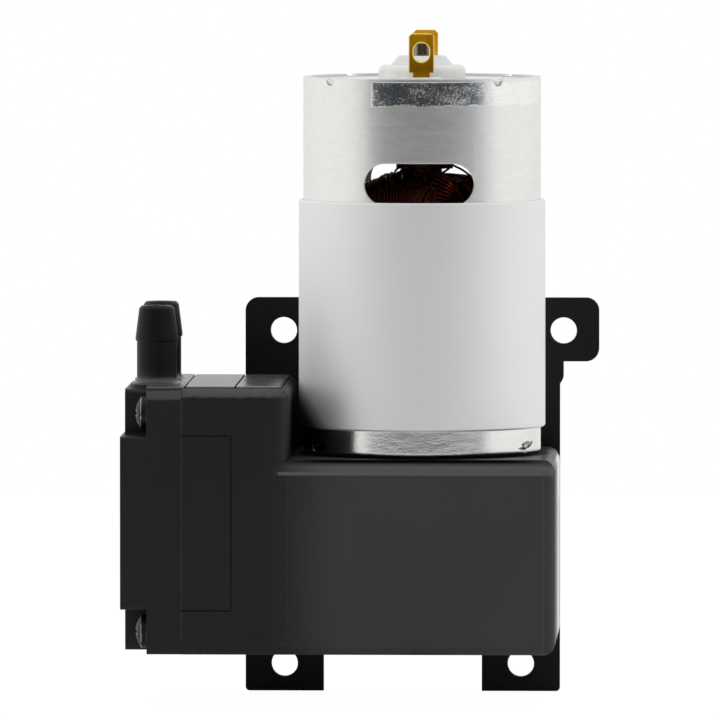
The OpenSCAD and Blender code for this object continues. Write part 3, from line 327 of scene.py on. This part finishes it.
def drawn_steel():
    """Motor can: bright plated sheet, satin in the middle, mottled where it was sized at both ends."""
    finish = Finish("drawn_plated_steel", {})
    height = finish.axis("Z")
    beside_seam = finish.axis("X") - CAN_SEAM_X
    speck = finish.noise(2900, 8.0, stretch=(1, 1, 1.5), roughness=0.72)
    patch = finish.noise(420, 3.0, stretch=(1, 1, 1.5))
    crinkle = finish.noise(260, 6.0, stretch=(1, 1, 2.6), roughness=0.62)
    cloud = finish.noise(45, 3.0, stretch=(1, 1, 0.4))
    streaks = finish.noise(700, 5.0, stretch=(1, 1, 3), roughness=0.6)
    outside = finish.step(finish.from_motor_axis(), CAN_R - 0.5 * MM, CAN_R - 0.3 * MM)
    on_front = finish.fade(finish.axis("Y"), MOTOR_Y - 4 * MM, MOTOR_Y - 1 * MM)

    # The mottled band under the rim ends at a seam on its left and raggedly below
    ragged = height + (patch - 0.5) * (1.6 * MM) + (speck - 0.5) * (0.8 * MM)
    strip = (outside * on_front * finish.step(ragged, BAND_FOOT_Z - 0.1 * MM, BAND_FOOT_Z + 0.1 * MM)
             * finish.fade(height, RIM_Z - 0.55 * MM, RIM_Z - 0.45 * MM))
    band = strip * finish.step(beside_seam, 0.0, 0.06 * MM)
    seam = strip * finish.fade(abs(beside_seam), 0.06 * MM, 0.16 * MM)
    stain = finish.step(speck + patch * 0.45 + beside_seam * 4, 0.68, 0.98) * band

    # The foot below the flux ring, darkened with painted shade where it meets the case
    foot = finish.fade(height, ring_low.z - 0.2 * MM, ring_low.z + 0.2 * MM)
    ragged_foot = height + (speck - 0.5) * (1.2 * MM)
    foot_shade = finish.fade(ragged_foot, DECK_Z + 0.55 * MM, DECK_Z + 0.9 * MM)
    marks_and_foot_shade = finish.larger(stamped_marks(finish, patch), foot_shade * 0.8) * outside

    sheet = finish.blend(streaks, (0.74, 0.735, 0.715), (0.88, 0.872, 0.85))
    bright = finish.blend(band * 0.25, sheet, (0.97, 0.965, 0.95))
    finish.feed({
        "Base Color": finish.blend(marks_and_foot_shade * 0.92, bright, (0.03, 0.03, 0.03)),
        "Metallic": 1 - seam * 0.8,
        "Roughness": (0.28 - band * 0.25 - foot * 0.16 + stain * 0.3 + cloud * 0.06 + crinkle * 0.04
                      + (1 - outside) * 0.3),
    })
    finish.relief(crinkle * (1.7 - band * 1.55 - foot * 0.8) + (band + foot) * speck * 0.5,
                  0.03 * MM, 0.3 * MM)
    return finish.material


def dull_steel():
    """Flux ring: dull plated sheet with a fine even grain, darkened by painted shade down in the corner
    beside the block.
    """
    finish = Finish("dull_plated_steel", {"Metallic": 1.0})
    grain = finish.noise(3800, 3.0)
    cloud = finish.noise(40, 2.0)
    plating = finish.blend(cloud, (0.86, 0.867, 0.865), (0.9, 0.903, 0.898))
    # Painted shade in the corner beside the block
    into_corner = (finish.axis("X") - ring_low.x) + (finish.axis("Z") - ring_low.z) * 0.7
    corner_shade = finish.fade(into_corner, 1.9 * MM, 5.8 * MM)
    finish.feed({
        "Base Color": finish.blend(corner_shade * 0.9, plating, (0.0, 0.0, 0.0)),
        "Roughness": 0.58 + grain * 0.08,
    })
    finish.relief(grain, 0.003 * MM, 0.08 * MM)
    return finish.material


def plain_steel():
    """Turned and rolled steel of the inner pieces."""
    finish = Finish("plain_steel", {"Metallic": 1.0})
    turning = finish.noise(500, 4.0, stretch=(0.3, 0.3, 6))
    finish.feed({
        "Base Color": finish.blend(turning, (0.5, 0.5, 0.51), (0.64, 0.64, 0.65)),
        "Roughness": 0.2 + turning * 0.18,
    })
    finish.relief(turning, 0.004 * MM, 0.08 * MM)
    return finish.material


def shaft_steel():
    """Motor shaft: ground steel, browned where it stands out of the bell."""
    finish = Finish("ground_steel", {"Metallic": 1.0})
    outside = finish.step(finish.axis("Z"), RIM_Z, RIM_Z + 2 * MM)
    streaks = finish.noise(900, 3.0, stretch=(1, 1, 0.15))
    browned = finish.blend(streaks, (0.1, 0.075, 0.05), (0.5, 0.42, 0.34))
    finish.feed({
        "Base Color": finish.blend(outside, (0.6, 0.6, 0.61), browned),
        "Roughness": 0.16 + streaks * 0.14,
    })
    finish.relief(streaks, 0.004 * MM, 0.1 * MM)
    return finish.material


def black_zinc():
    """Screws: black plating, rubbed through to bright steel along the edges, less so at the rear."""
    finish = Finish("black_zinc", {"Specular IOR Level": 0.25})
    wear = finish.noise(1400, 4.0)
    at_rear = finish.step(finish.axis("Y"), case_high.y - 6 * MM, case_high.y - 4 * MM)
    rubbed_and_highlit = finish.sharp_edges(0.2 * MM) * finish.step(wear, 0.38, 0.46) * (1 - at_rear * 0.75)
    finish.feed({
        "Base Color": finish.blend(rubbed_and_highlit, (0.004, 0.004, 0.0045), (0.85, 0.85, 0.85)),
        "Metallic": rubbed_and_highlit,
        "Roughness": 0.3 + wear * 0.2 - rubbed_and_highlit * 0.25,
    })
    finish.relief(wear, 0.012 * MM, 0.12 * MM)
    return finish.material


def stamped_brass():
    """Terminals: rolled brass, burnished along the stamped edges with painted highlights there, redder on
    the rear one; painted light makes them brighter towards the top and the rear one brighter.
    """
    finish = Finish("stamped_brass", {})
    half_w = (front_terminal_high.x - front_terminal_low.x) / 2
    middle = (front_terminal_high.x + front_terminal_low.x) / 2
    across = abs(finish.axis("X") - middle)
    up = finish.larger(abs(finish.axis("Z") - EYE_Z) - EYE_STRAIGHT / 2, 0.0)
    from_eye = finish.distance(across, up)
    side = finish.step(across, half_w - 0.2 * MM, half_w - 0.04 * MM)
    top = finish.step(finish.axis("Z"), front_terminal_high.z - 0.3 * MM, front_terminal_high.z - 0.05 * MM)
    rim = finish.fade(from_eye, EYE_R + 0.1 * MM, EYE_R + 0.24 * MM)
    rear = finish.step(finish.axis("Y"), MOTOR_Y, MOTOR_Y + 2 * MM)
    # Painted highlights: the sides, the top edge and the eye's rim are painted bright, as burnished brass
    rubbed_and_highlit = finish.larger(finish.larger(side, top) * (1 - rear * 0.75), rim)
    rolling = finish.noise(500, 4.0, stretch=(2.5, 1, 0.3))
    # Painted light: brighter towards the top, and brighter still on the rear terminal
    height = finish.step(finish.axis("Z"), EYE_Z - 2.5 * MM, front_terminal_high.z)
    body = finish.blend(rolling * 0.3 + height * 0.7, (0.54, 0.25, 0.01), (1.0, 0.49, 0.003))
    brightened = finish.blend(rear, body, (1.0, 0.47, 0.008))
    finish.feed({
        "Base Color": finish.blend(rubbed_and_highlit, brightened, (1.0, 0.76, 0.12)),
        "Metallic": 1 - finish.larger(rubbed_and_highlit * 0.95, height * 0.06, rear * 0.4),
        "Roughness": 0.26 + rolling * 0.1 - rubbed_and_highlit * 0.08,
    })
    finish.relief(rolling, 0.005 * MM, 0.2 * MM)
    return finish.material


def sintered_bronze():
    """Bushes: porous sintered metal."""
    finish = Finish("sintered_bronze", {"Metallic": 1.0})
    pores = finish.noise(4200, 3.0)
    finish.feed({
        "Base Color": finish.blend(pores, (0.26, 0.15, 0.06), (0.5, 0.31, 0.13)),
        "Roughness": 0.35 + pores * 0.2,
    })
    finish.relief(pores, 0.01 * MM)
    return finish.material


def natural_nylon():
    """End bell: milky unfilled nylon that lets some light in."""
    finish = Finish("natural_nylon", {
        "Subsurface Weight": 0.45, "Subsurface Radius": (1.0, 1.0, 0.9), "Subsurface Scale": 1.2 * MM,
        "Specular IOR Level": 0.5})
    cloud = finish.noise(320, 3.0)
    finish.feed({
        "Base Color": finish.blend(cloud, (0.62, 0.63, 0.62), (0.86, 0.87, 0.85)),
        "Roughness": 0.26 + cloud * 0.14,
    })
    finish.relief(cloud, 0.02 * MM, 0.25 * MM)
    return finish.material


def pale_plastic(name, dark, light):
    """Natural mouldings inside the head."""
    finish = Finish(name, {})
    cloud = finish.noise(200, 3.0)
    grain = finish.noise(4500, 2.0)
    finish.feed({"Base Color": finish.blend(cloud, dark, light), "Roughness": 0.38 + grain * 0.1})
    finish.relief(grain, 0.006 * MM, 0.1 * MM)
    return finish.material


def soft_black(name, roughness, per_metre):
    """Rubber, carbon and ferrite: dark and dull, with a grain of its own."""
    finish = Finish(name, {"Specular IOR Level": 0.3})
    grain = finish.noise(per_metre, 4.0)
    finish.feed({
        "Base Color": finish.blend(grain, (0.012, 0.012, 0.012), (0.03, 0.03, 0.031)),
        "Roughness": roughness + grain * 0.15,
    })
    finish.relief(grain, 0.012 * MM, 0.1 * MM)
    return finish.material


def stacked_sheets():
    """Armature core: the edges of thin sheets, one on the other."""
    finish = Finish("stacked_sheets", {"Metallic": 1.0})
    sheet = 0.5 * MM
    phase = finish.axis("Z") * (2 * math.pi / sheet)
    lines = finish.node("Math", {"operation": "SINE"}, {0: phase}) * 0.5 + 0.5
    blue = finish.noise(300, 3.0)
    finish.feed({
        "Base Color": finish.blend(blue, (0.16, 0.17, 0.2), (0.3, 0.3, 0.31)),
        "Roughness": 0.34 + blue * 0.15,
    })
    finish.relief(lines, 0.05 * MM)
    return finish.material


def enamelled_wire():
    """Windings: copper under dark red enamel, with painted highlights on the outermost turns and painted
    glints, and painted shade darkening them towards the ring.
    """
    finish = Finish("enamelled_copper", {"Metallic": 1.0, "Coat Roughness": 0.12})
    strand = finish.noise(420, 3.0, stretch=(1, 1, 0.6))
    turns = finish.blend(strand, (0.06, 0.012, 0.006), (0.15, 0.022, 0.01))
    # Painted highlights on the outermost turns and painted glints, with painted shade darker towards the
    # ring
    outermost = finish.step(finish.from_motor_axis(), COIL_OUT + 0.42 * MM, COIL_OUT + 0.6 * MM)
    glint = finish.step(finish.noise(1500, 2.0), 0.6, 0.68)
    lit = finish.step(finish.axis("Z"), ring_high.z - 0.6 * MM, ring_high.z + 3.4 * MM)
    outer = finish.blend(lit, (0.08, 0.014, 0.005), (0.95, 0.15, 0.035))
    finish.feed({
        "Base Color": finish.blend(glint * lit * 0.8, finish.blend(outermost, turns, outer),
                                   (0.95, 0.16, 0.08)),
        "Roughness": 0.26 + strand * 0.16 - outermost * 0.08,
        "Coat Weight": 0.15 + strand * 0.2,
    })
    finish.relief(finish.noise(2500, 2.0), 0.01 * MM)
    return finish.material


def commutator_copper():
    """Commutator: bare copper, dark all over, with fine turning marks."""
    finish = Finish("commutator_copper", {"Metallic": 1.0})
    turning = finish.noise(600, 4.0, stretch=(0.3, 0.3, 8))
    finish.feed({
        "Base Color": finish.blend(turning, (0.035, 0.018, 0.01), (0.12, 0.06, 0.03)),
        "Roughness": 0.28 + turning * 0.2,
    })
    finish.relief(turning, 0.01 * MM, 0.1 * MM)
    return finish.material


def make_finishes():
    """One finish for each material slot of the record."""
    return {
        "black_steel": black_paint(),
        "black_zinc": black_zinc(),
        "case_plastic": moulded_plastic(),
        "steel": plain_steel(),
        "can_steel": drawn_steel(),
        "ring_steel": dull_steel(),
        "rubber": soft_black("black_rubber", 0.5, 900),
        "valve_plastic": pale_plastic("natural_acetal", (0.55, 0.55, 0.52), (0.64, 0.64, 0.61)),
        "rod_plastic": pale_plastic("filled_nylon", (0.44, 0.44, 0.4), (0.55, 0.55, 0.5)),
        "brass": stamped_brass(),
        "bronze": sintered_bronze(),
        "bell_plastic": natural_nylon(),
        "carbon": soft_black("brush_carbon", 0.6, 3000),
        "magnet": soft_black("ferrite", 0.45, 1800),
        "core_steel": stacked_sheets(),
        "copper": enamelled_wire(),
        "thrust_plastic": pale_plastic("thrust_plastic", (0.5, 0.45, 0.3), (0.62, 0.57, 0.4)),
    }


def dress_nodes(finishes):
    """Gives each CAD node the finish of its slot."""
    for part in frame["record"]["subparts"]:
        node = nodes[part["node"]]
        finish = finishes[part["material_slot"]]
        if not node.material_slots:
            node.data.materials.append(finish)
        for slot in node.material_slots:
            slot.material = finish
    for name, finish in (("commutator", commutator_copper()), ("motor_shaft", shaft_steel())):
        for slot in nodes[name].material_slots:
            slot.material = finish


# Armature windings
POLE_COUNT = 3
FIRST_POLE = math.radians(60)
WIRE_R = 0.22 * MM
WIRE_PITCH = 0.45 * MM
COIL_IN = 3.25 * MM
COIL_OUT = 9.9 * MM
COIL_HALF_W = 5.9 * MM
WEB_HALF_W = 1.85 * MM
LAYERS = 4
LAYER_PITCH = WIRE_PITCH * 0.95
STACK_CLEAR = 0.4 * MM
CROWN_R = 4.7 * MM
CROWN_HEIGHTS = (6.35 * MM, 6.7 * MM, 6.5 * MM)
CROWN_DROPS = (0.06, 0.41, 0.2)
CROWN_ROUNDNESS = (0.18, 0.25, 0.5)
HEART_R = 0.6 * MM
HEART_TURNS = 8
NEIGHBOUR_GAP = 1.3 * WIRE_R

# How unevenly the wire is wound
WIRE_SEED = 11
WIDTH_PLAY = 0.05 * MM
CROWN_SINK = 0.16 * MM
CROWN_LIFT = 0.1 * MM
SHIFT_PLAY = 0.07 * MM
SWAY_PLAY = 0.22 * MM

# Ways of the leads: degrees from the hook, radius and height in mm, drawn for hooks at DRAWN_HOOK_R
LEAD_R = 0.17 * MM
HOOK_RISE = 7.7 * MM
DRAWN_HOOK_R = 4.65
LONG_LEAD = ((-4, 4.3, 0.35), (2, 5.0, 0.0), (12, 6.2, -0.6), (22, 7.6, -1.4), (28, 8.8, -2.1),
             (34, 9.6, -3.1))
SHORT_LEAD = ((4, 4.3, 0.35), (-4, 4.6, -0.2), (-16, 4.7, -0.9), (-24, 5.0, -1.8), (-30, 5.4, -2.5))
BACK_LEAD = tuple((-turn, r, rise) for turn, r, rise in SHORT_LEAD)
SLACK_LEAD = ((-10, 4.2, 0.1), (-22, 4.6, -0.25), (-27, 4.8, -0.9), (-20, 4.8, -1.45),
              (-12, 4.6, -1.1), (-14, 4.4, -0.45), (-22, 4.3, -1.4), (-26, 4.6, -2.4))
SWEEP_LEAD = ((-4, 4.3, 0.35), (6, 4.7, 0.1), (20, 5.1, -0.5), (38, 5.9, -1.2), (52, 6.9, -1.9),
              (60, 7.6, -2.4))
NECK_LEAD = ((4, 4.3, 0.35), (-16, 4.2, -0.3), (-40, 3.9, -1.0), (-62, 4.2, -1.9))

# The fan of last turns across the front coil lies between these two ways
FAN_TURNS = 6
FAN_TOP = ((28, 5.6, -0.1), (41, 8.0, -0.45), (48, 9.4, -1.1), (55, 10.3, -2.1), (61, 10.45, -3.1),
           (66, 10.45, -4.3))
FAN_FOOT = ((16, 8.6, -4.4), (30, 9.6, -4.2), (42, 10.3, -4.3), (53, 10.6, -4.7), (62, 10.6, -5.4),
            (70, 10.6, -6.4))


def wire_mesh(name, paths, closed, radius=WIRE_R):
    """Round wires along lists of points, as one mesh."""
    curve = bpy.data.curves.new(name, "CURVE")
    curve.dimensions = "3D"
    curve.bevel_depth = radius
    curve.bevel_resolution = 2
    curve.use_fill_caps = True
    for path in paths:
        spline = curve.splines.new("POLY")
        spline.points.add(len(path) - 1)
        for point, place in zip(spline.points, path):
            point.co = (*place, 1.0)
        spline.use_cyclic_u = closed
        spline.use_smooth = True
    holder = bpy.data.objects.new(name + "_curve", curve)
    bpy.context.scene.collection.objects.link(holder)
    bpy.context.view_layer.update()
    shaped = holder.evaluated_get(bpy.context.evaluated_depsgraph_get())
    mesh = bpy.data.meshes.new_from_object(shaped)
    bpy.data.objects.remove(holder)
    piece = bpy.data.objects.new(name, mesh)
    bpy.context.scene.collection.objects.link(piece)
    return piece


def crown_height(index, r):
    """How far one pole's end turns stand above the stack at distance r from the shaft."""
    return CROWN_HEIGHTS[index] - CROWN_DROPS[index] * max(0.0, r - CROWN_R)


def coil_turn(r, half_w, crown, roundness, sway=0.0, steps=14):
    """One turn of wire round a pole: two straight runs joined by an arch above and one below."""
    stack_half = (core_high.z - core_low.z) / 2 + STACK_CLEAR
    middle_z = (core_high.z + core_low.z) / 2
    points = []
    for side in (1, -1):
        for i in range(steps + 1):
            angle = math.pi * i / steps
            across = side * half_w * math.cos(angle)
            up = side * (stack_half + (crown - STACK_CLEAR) * abs(math.sin(angle)) ** roundness)
            out = r + sway * math.sin(angle * 2 + (0 if side > 0 else math.pi))
            points.append(Vector((out, across, middle_z + up)))
    return points


def onto_pole(index):
    """Turns a coil that stands along X about the origin onto its pole."""
    turn = Matrix.Rotation(FIRST_POLE + index * 2 * math.pi / POLE_COUNT, 4, "Z")
    return Matrix.Translation((MOTOR_X, MOTOR_Y, 0)) @ turn


def wound_coil(index):
    """All the turns of one pole, a little uneven as wound wire is."""
    dice = random.Random(WIRE_SEED + index)
    put = onto_pole(index)
    paths = []
    places = int((COIL_OUT - COIL_IN) / WIRE_PITCH)
    for place in range(places + 1):
        r = COIL_IN + place * WIRE_PITCH
        to_rim = math.sqrt(max(0.0, (COIL_OUT + WIRE_R) ** 2 - r * r)) - WIRE_R
        to_neighbour = r * math.tan(math.pi / POLE_COUNT) - NEIGHBOUR_GAP
        reach = min(COIL_HALF_W, to_rim, to_neighbour)
        for layer in range(LAYERS):
            half_w = reach - layer * LAYER_PITCH + dice.uniform(-WIDTH_PLAY, WIDTH_PLAY)
            crown = crown_height(index, r) - layer * LAYER_PITCH
            crown += dice.uniform(-CROWN_SINK, CROWN_LIFT)
            if half_w < WEB_HALF_W:
                continue
            shift = dice.uniform(-SHIFT_PLAY, SHIFT_PLAY) + (WIRE_PITCH / 2 if layer % 2 else 0)
            sway = dice.uniform(-SWAY_PLAY, SWAY_PLAY)
            wanted = min(r + shift, COIL_OUT - 0.1 * MM)
            turn = coil_turn(wanted, half_w, crown, CROWN_ROUNDNESS[index], sway)
            paths.append([put @ p for p in turn])
    return wire_mesh(f"winding_{index + 1}", paths, closed=True)


def coil_heart(index):
    """The varnished inner turns of one pole, which fill the coil."""
    put = onto_pole(index)
    paths = []
    for place in range(HEART_TURNS):
        r = COIL_IN + HEART_R + place * (COIL_OUT - COIL_IN - 2 * HEART_R) / (HEART_TURNS - 1)
        crown = crown_height(index, r) - LAYERS * LAYER_PITCH - HEART_R * 0.6
        turn = coil_turn(r, WEB_HALF_W + HEART_R, crown, CROWN_ROUNDNESS[index])
        paths.append([put @ p for p in turn])
    return wire_mesh(f"winding_heart_{index + 1}", paths, closed=True, radius=HEART_R)


def round_way(points, steps=8):
    """A smooth way through a few given points."""
    ends = [points[0] * 2 - points[1], *points, points[-1] * 2 - points[-2]]
    way = []
    for a, b, c, d in zip(ends, ends[1:], ends[2:], ends[3:]):
        for i in range(steps):
            t = i / steps
            way.append(0.5 * (2 * b + (c - a) * t + (2 * a - 5 * b + 4 * c - d) * t * t
                              + (3 * b - 3 * c + d - a) * t ** 3))
    way.append(points[-1])
    return way


def lead_way(hook, lead):
    """One lead as a smooth way, from the hook that stands at that angle."""
    points = []
    for turn, r, rise in lead:
        angle = hook + math.radians(turn)
        reach = r * (hook_high.x - MOTOR_X) / DRAWN_HOOK_R
        points.append(Vector((MOTOR_X + reach * math.cos(angle), MOTOR_Y + reach * math.sin(angle),
                              core_high.z + HOOK_RISE + rise * MM)))
    return round_way(points)


def fan_lead(share):
    """A lead that lies at that share of the way from the top of the fan to its foot."""
    return [tuple(a + (b - a) * share for a, b in zip(high, low))
            for high, low in zip(FAN_TOP, FAN_FOOT)]


def hook_leads():
    """The wires from the commutator's hooks down to the coils on both sides of each."""
    fan = [fan_lead(k / (FAN_TURNS - 1)) for k in range(FAN_TURNS)]
    # From each hook in turn, the first of them at the rear left
    leads = ((SHORT_LEAD, BACK_LEAD), (SHORT_LEAD, SWEEP_LEAD, SLACK_LEAD, *fan), (LONG_LEAD, NECK_LEAD))
    paths = []
    for index in range(POLE_COUNT):
        hook = FIRST_POLE + (index + 0.5) * 2 * math.pi / POLE_COUNT
        paths += [lead_way(hook, lead) for lead in leads[index]]
    return wire_mesh("hook_leads", paths, closed=False, radius=LEAD_R)


def wind_armature(finishes):
    """Replaces the plain blocks of the windings with wound wire."""
    pieces = [make(i) for make in (wound_coil, coil_heart) for i in range(POLE_COUNT)]
    pieces.append(hook_leads())
    for piece in pieces:
        piece.data.materials.append(finishes["copper"])
        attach(piece, "rotor")
        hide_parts("armature_windings")


# Surroundings
FLOOR_REACH = 0.5
FLOOR_GAP = 0.05 * MM
FLOOR_GLOW = 1.05
GLOW_SHARE = 0.93
TENT_LEVEL = 1.02
DIM_TOWARDS_CAMERA = 0.77
DIM_BEHIND = 0.1
SLOT_DROP = 0.045
SLOT_DARKNESS = 0.85
SLOT_TINT = (0.82, 0.97, 1.15)
FILL_PLACE = (-0.3, -1.6, 0.9)
FILL_SIZE = 1.2
FILL_POWER = 9.0


def make_floor():
    """A plain pale floor that looks white from the camera and keeps a faint shadow."""
    mesh = bpy.data.meshes.new("floor")
    plane = bmesh.new()
    bmesh.ops.create_grid(plane, x_segments=1, y_segments=1, size=FLOOR_REACH)
    bmesh.ops.translate(plane, verts=plane.verts, vec=(0, 0, cad_box[0][2] - FLOOR_GAP))
    plane.to_mesh(mesh)
    plane.free()
    floor = bpy.data.objects.new("floor", mesh)
    bpy.context.scene.collection.objects.link(floor)
    finish = Finish("pale_floor", {"Base Color": (0.8, 0.8, 0.8), "Roughness": 0.9})
    tree = finish.tree
    seen = add_node(tree, "LightPath", output="Is Camera Ray")
    glow = add_node(tree, "Emission", inputs={"Color": (1.0, 1.0, 1.0), "Strength": FLOOR_GLOW})
    lit = Signal(tree, finish.shader.outputs[0])
    both = add_node(tree, "MixShader", inputs={0: seen * GLOW_SHARE, 1: lit, 2: glow})
    plug(tree, tree.nodes["Material Output"].inputs["Surface"], both)
    mesh.materials.append(finish.material)


def make_world():
    """A light tent: white all round, dimmer towards the camera, with a dark slot just below it."""
    world = bpy.data.worlds.new("light_tent")
    bpy.context.scene.world = world
    world.use_nodes = True
    tree = world.node_tree
    ray = add_node(tree, "TexCoord", output="Generated")
    across, along, up = (add_node(tree, "SeparateXYZ", inputs={0: ray}, output=name) for name in "XYZ")
    forward = along * -1.0
    towards_camera = smooth_step(tree, forward, 0.3, 0.97)
    turn = add_node(tree, "Math", {"operation": "ARCTAN2"}, {0: across, 1: forward})
    slot_width = smooth_step(tree, turn, -0.91, -0.89) * (1 - smooth_step(tree, turn, 1.0, 1.25))
    slot = (1 - smooth_step(tree, abs(up + SLOT_DROP), 0.09, 0.13)) * slot_width
    behind = smooth_step(tree, along, 0.5, 0.9)
    dimmed = TENT_LEVEL - towards_camera * DIM_TOWARDS_CAMERA - behind * DIM_BEHIND
    level = dimmed * (1 - slot * SLOT_DARKNESS)
    seen = add_node(tree, "LightPath", output="Is Camera Ray")
    strength = seen + (1 - seen) * level
    tint = add_node(tree, "Mix", {"data_type": "RGBA"}, {
        0: slot * (1 - seen), 6: (1.0, 1.0, 1.0), 7: SLOT_TINT}, output=2)
    tent = tree.nodes["Background"]
    plug(tree, tent.inputs["Color"], tint)
    plug(tree, tent.inputs["Strength"], strength)


def make_fill():
    """A large soft box above the camera, kept out of the reflections."""
    lamp = bpy.data.lights.new("front_fill", "AREA")
    lamp.size = FILL_SIZE
    lamp.energy = FILL_POWER
    holder = bpy.data.objects.new("front_fill", lamp)
    holder.location = FILL_PLACE
    beam = Vector((MOTOR_X, MOTOR_Y, 0)) - Vector(FILL_PLACE)
    holder.rotation_euler = beam.to_track_quat("-Z", "Y").to_euler()
    holder.visible_glossy = False
    bpy.context.scene.collection.objects.link(holder)


# Camera, from the fit to the photograph
CAMERA_DISTANCE = 2.0
CAMERA_AZIMUTH = math.radians(1.87)
CAMERA_ELEVATION = math.radians(2.80)
CAMERA_AIM = Vector((-9.06, -21.5, -3.56)) * MM
PHOTO_WIDTH = 720
FOCAL_PIXELS = 13268
SENSOR_WIDTH = 36.0


def make_camera():
    lens = bpy.data.cameras.new("camera")
    lens.sensor_width = SENSOR_WIDTH
    lens.lens = SENSOR_WIDTH * FOCAL_PIXELS / PHOTO_WIDTH
    lens.clip_start = 0.1
    lens.clip_end = 20.0
    camera = bpy.data.objects.new("camera", lens)
    back = Vector((math.sin(CAMERA_AZIMUTH) * math.cos(CAMERA_ELEVATION),
                   -math.cos(CAMERA_AZIMUTH) * math.cos(CAMERA_ELEVATION),
                   math.sin(CAMERA_ELEVATION)))
    camera.location = CAMERA_AIM + back * CAMERA_DISTANCE
    camera.rotation_euler = (-back).to_track_quat("-Z", "Y").to_euler()
    bpy.context.scene.collection.objects.link(camera)
    bpy.context.scene.camera = camera


bpy.context.scene.view_settings.view_transform = "Standard"
make_camera()
make_world()
make_fill()
make_floor()
finishes = make_finishes()
dress_nodes(finishes)
wind_armature(finishes)
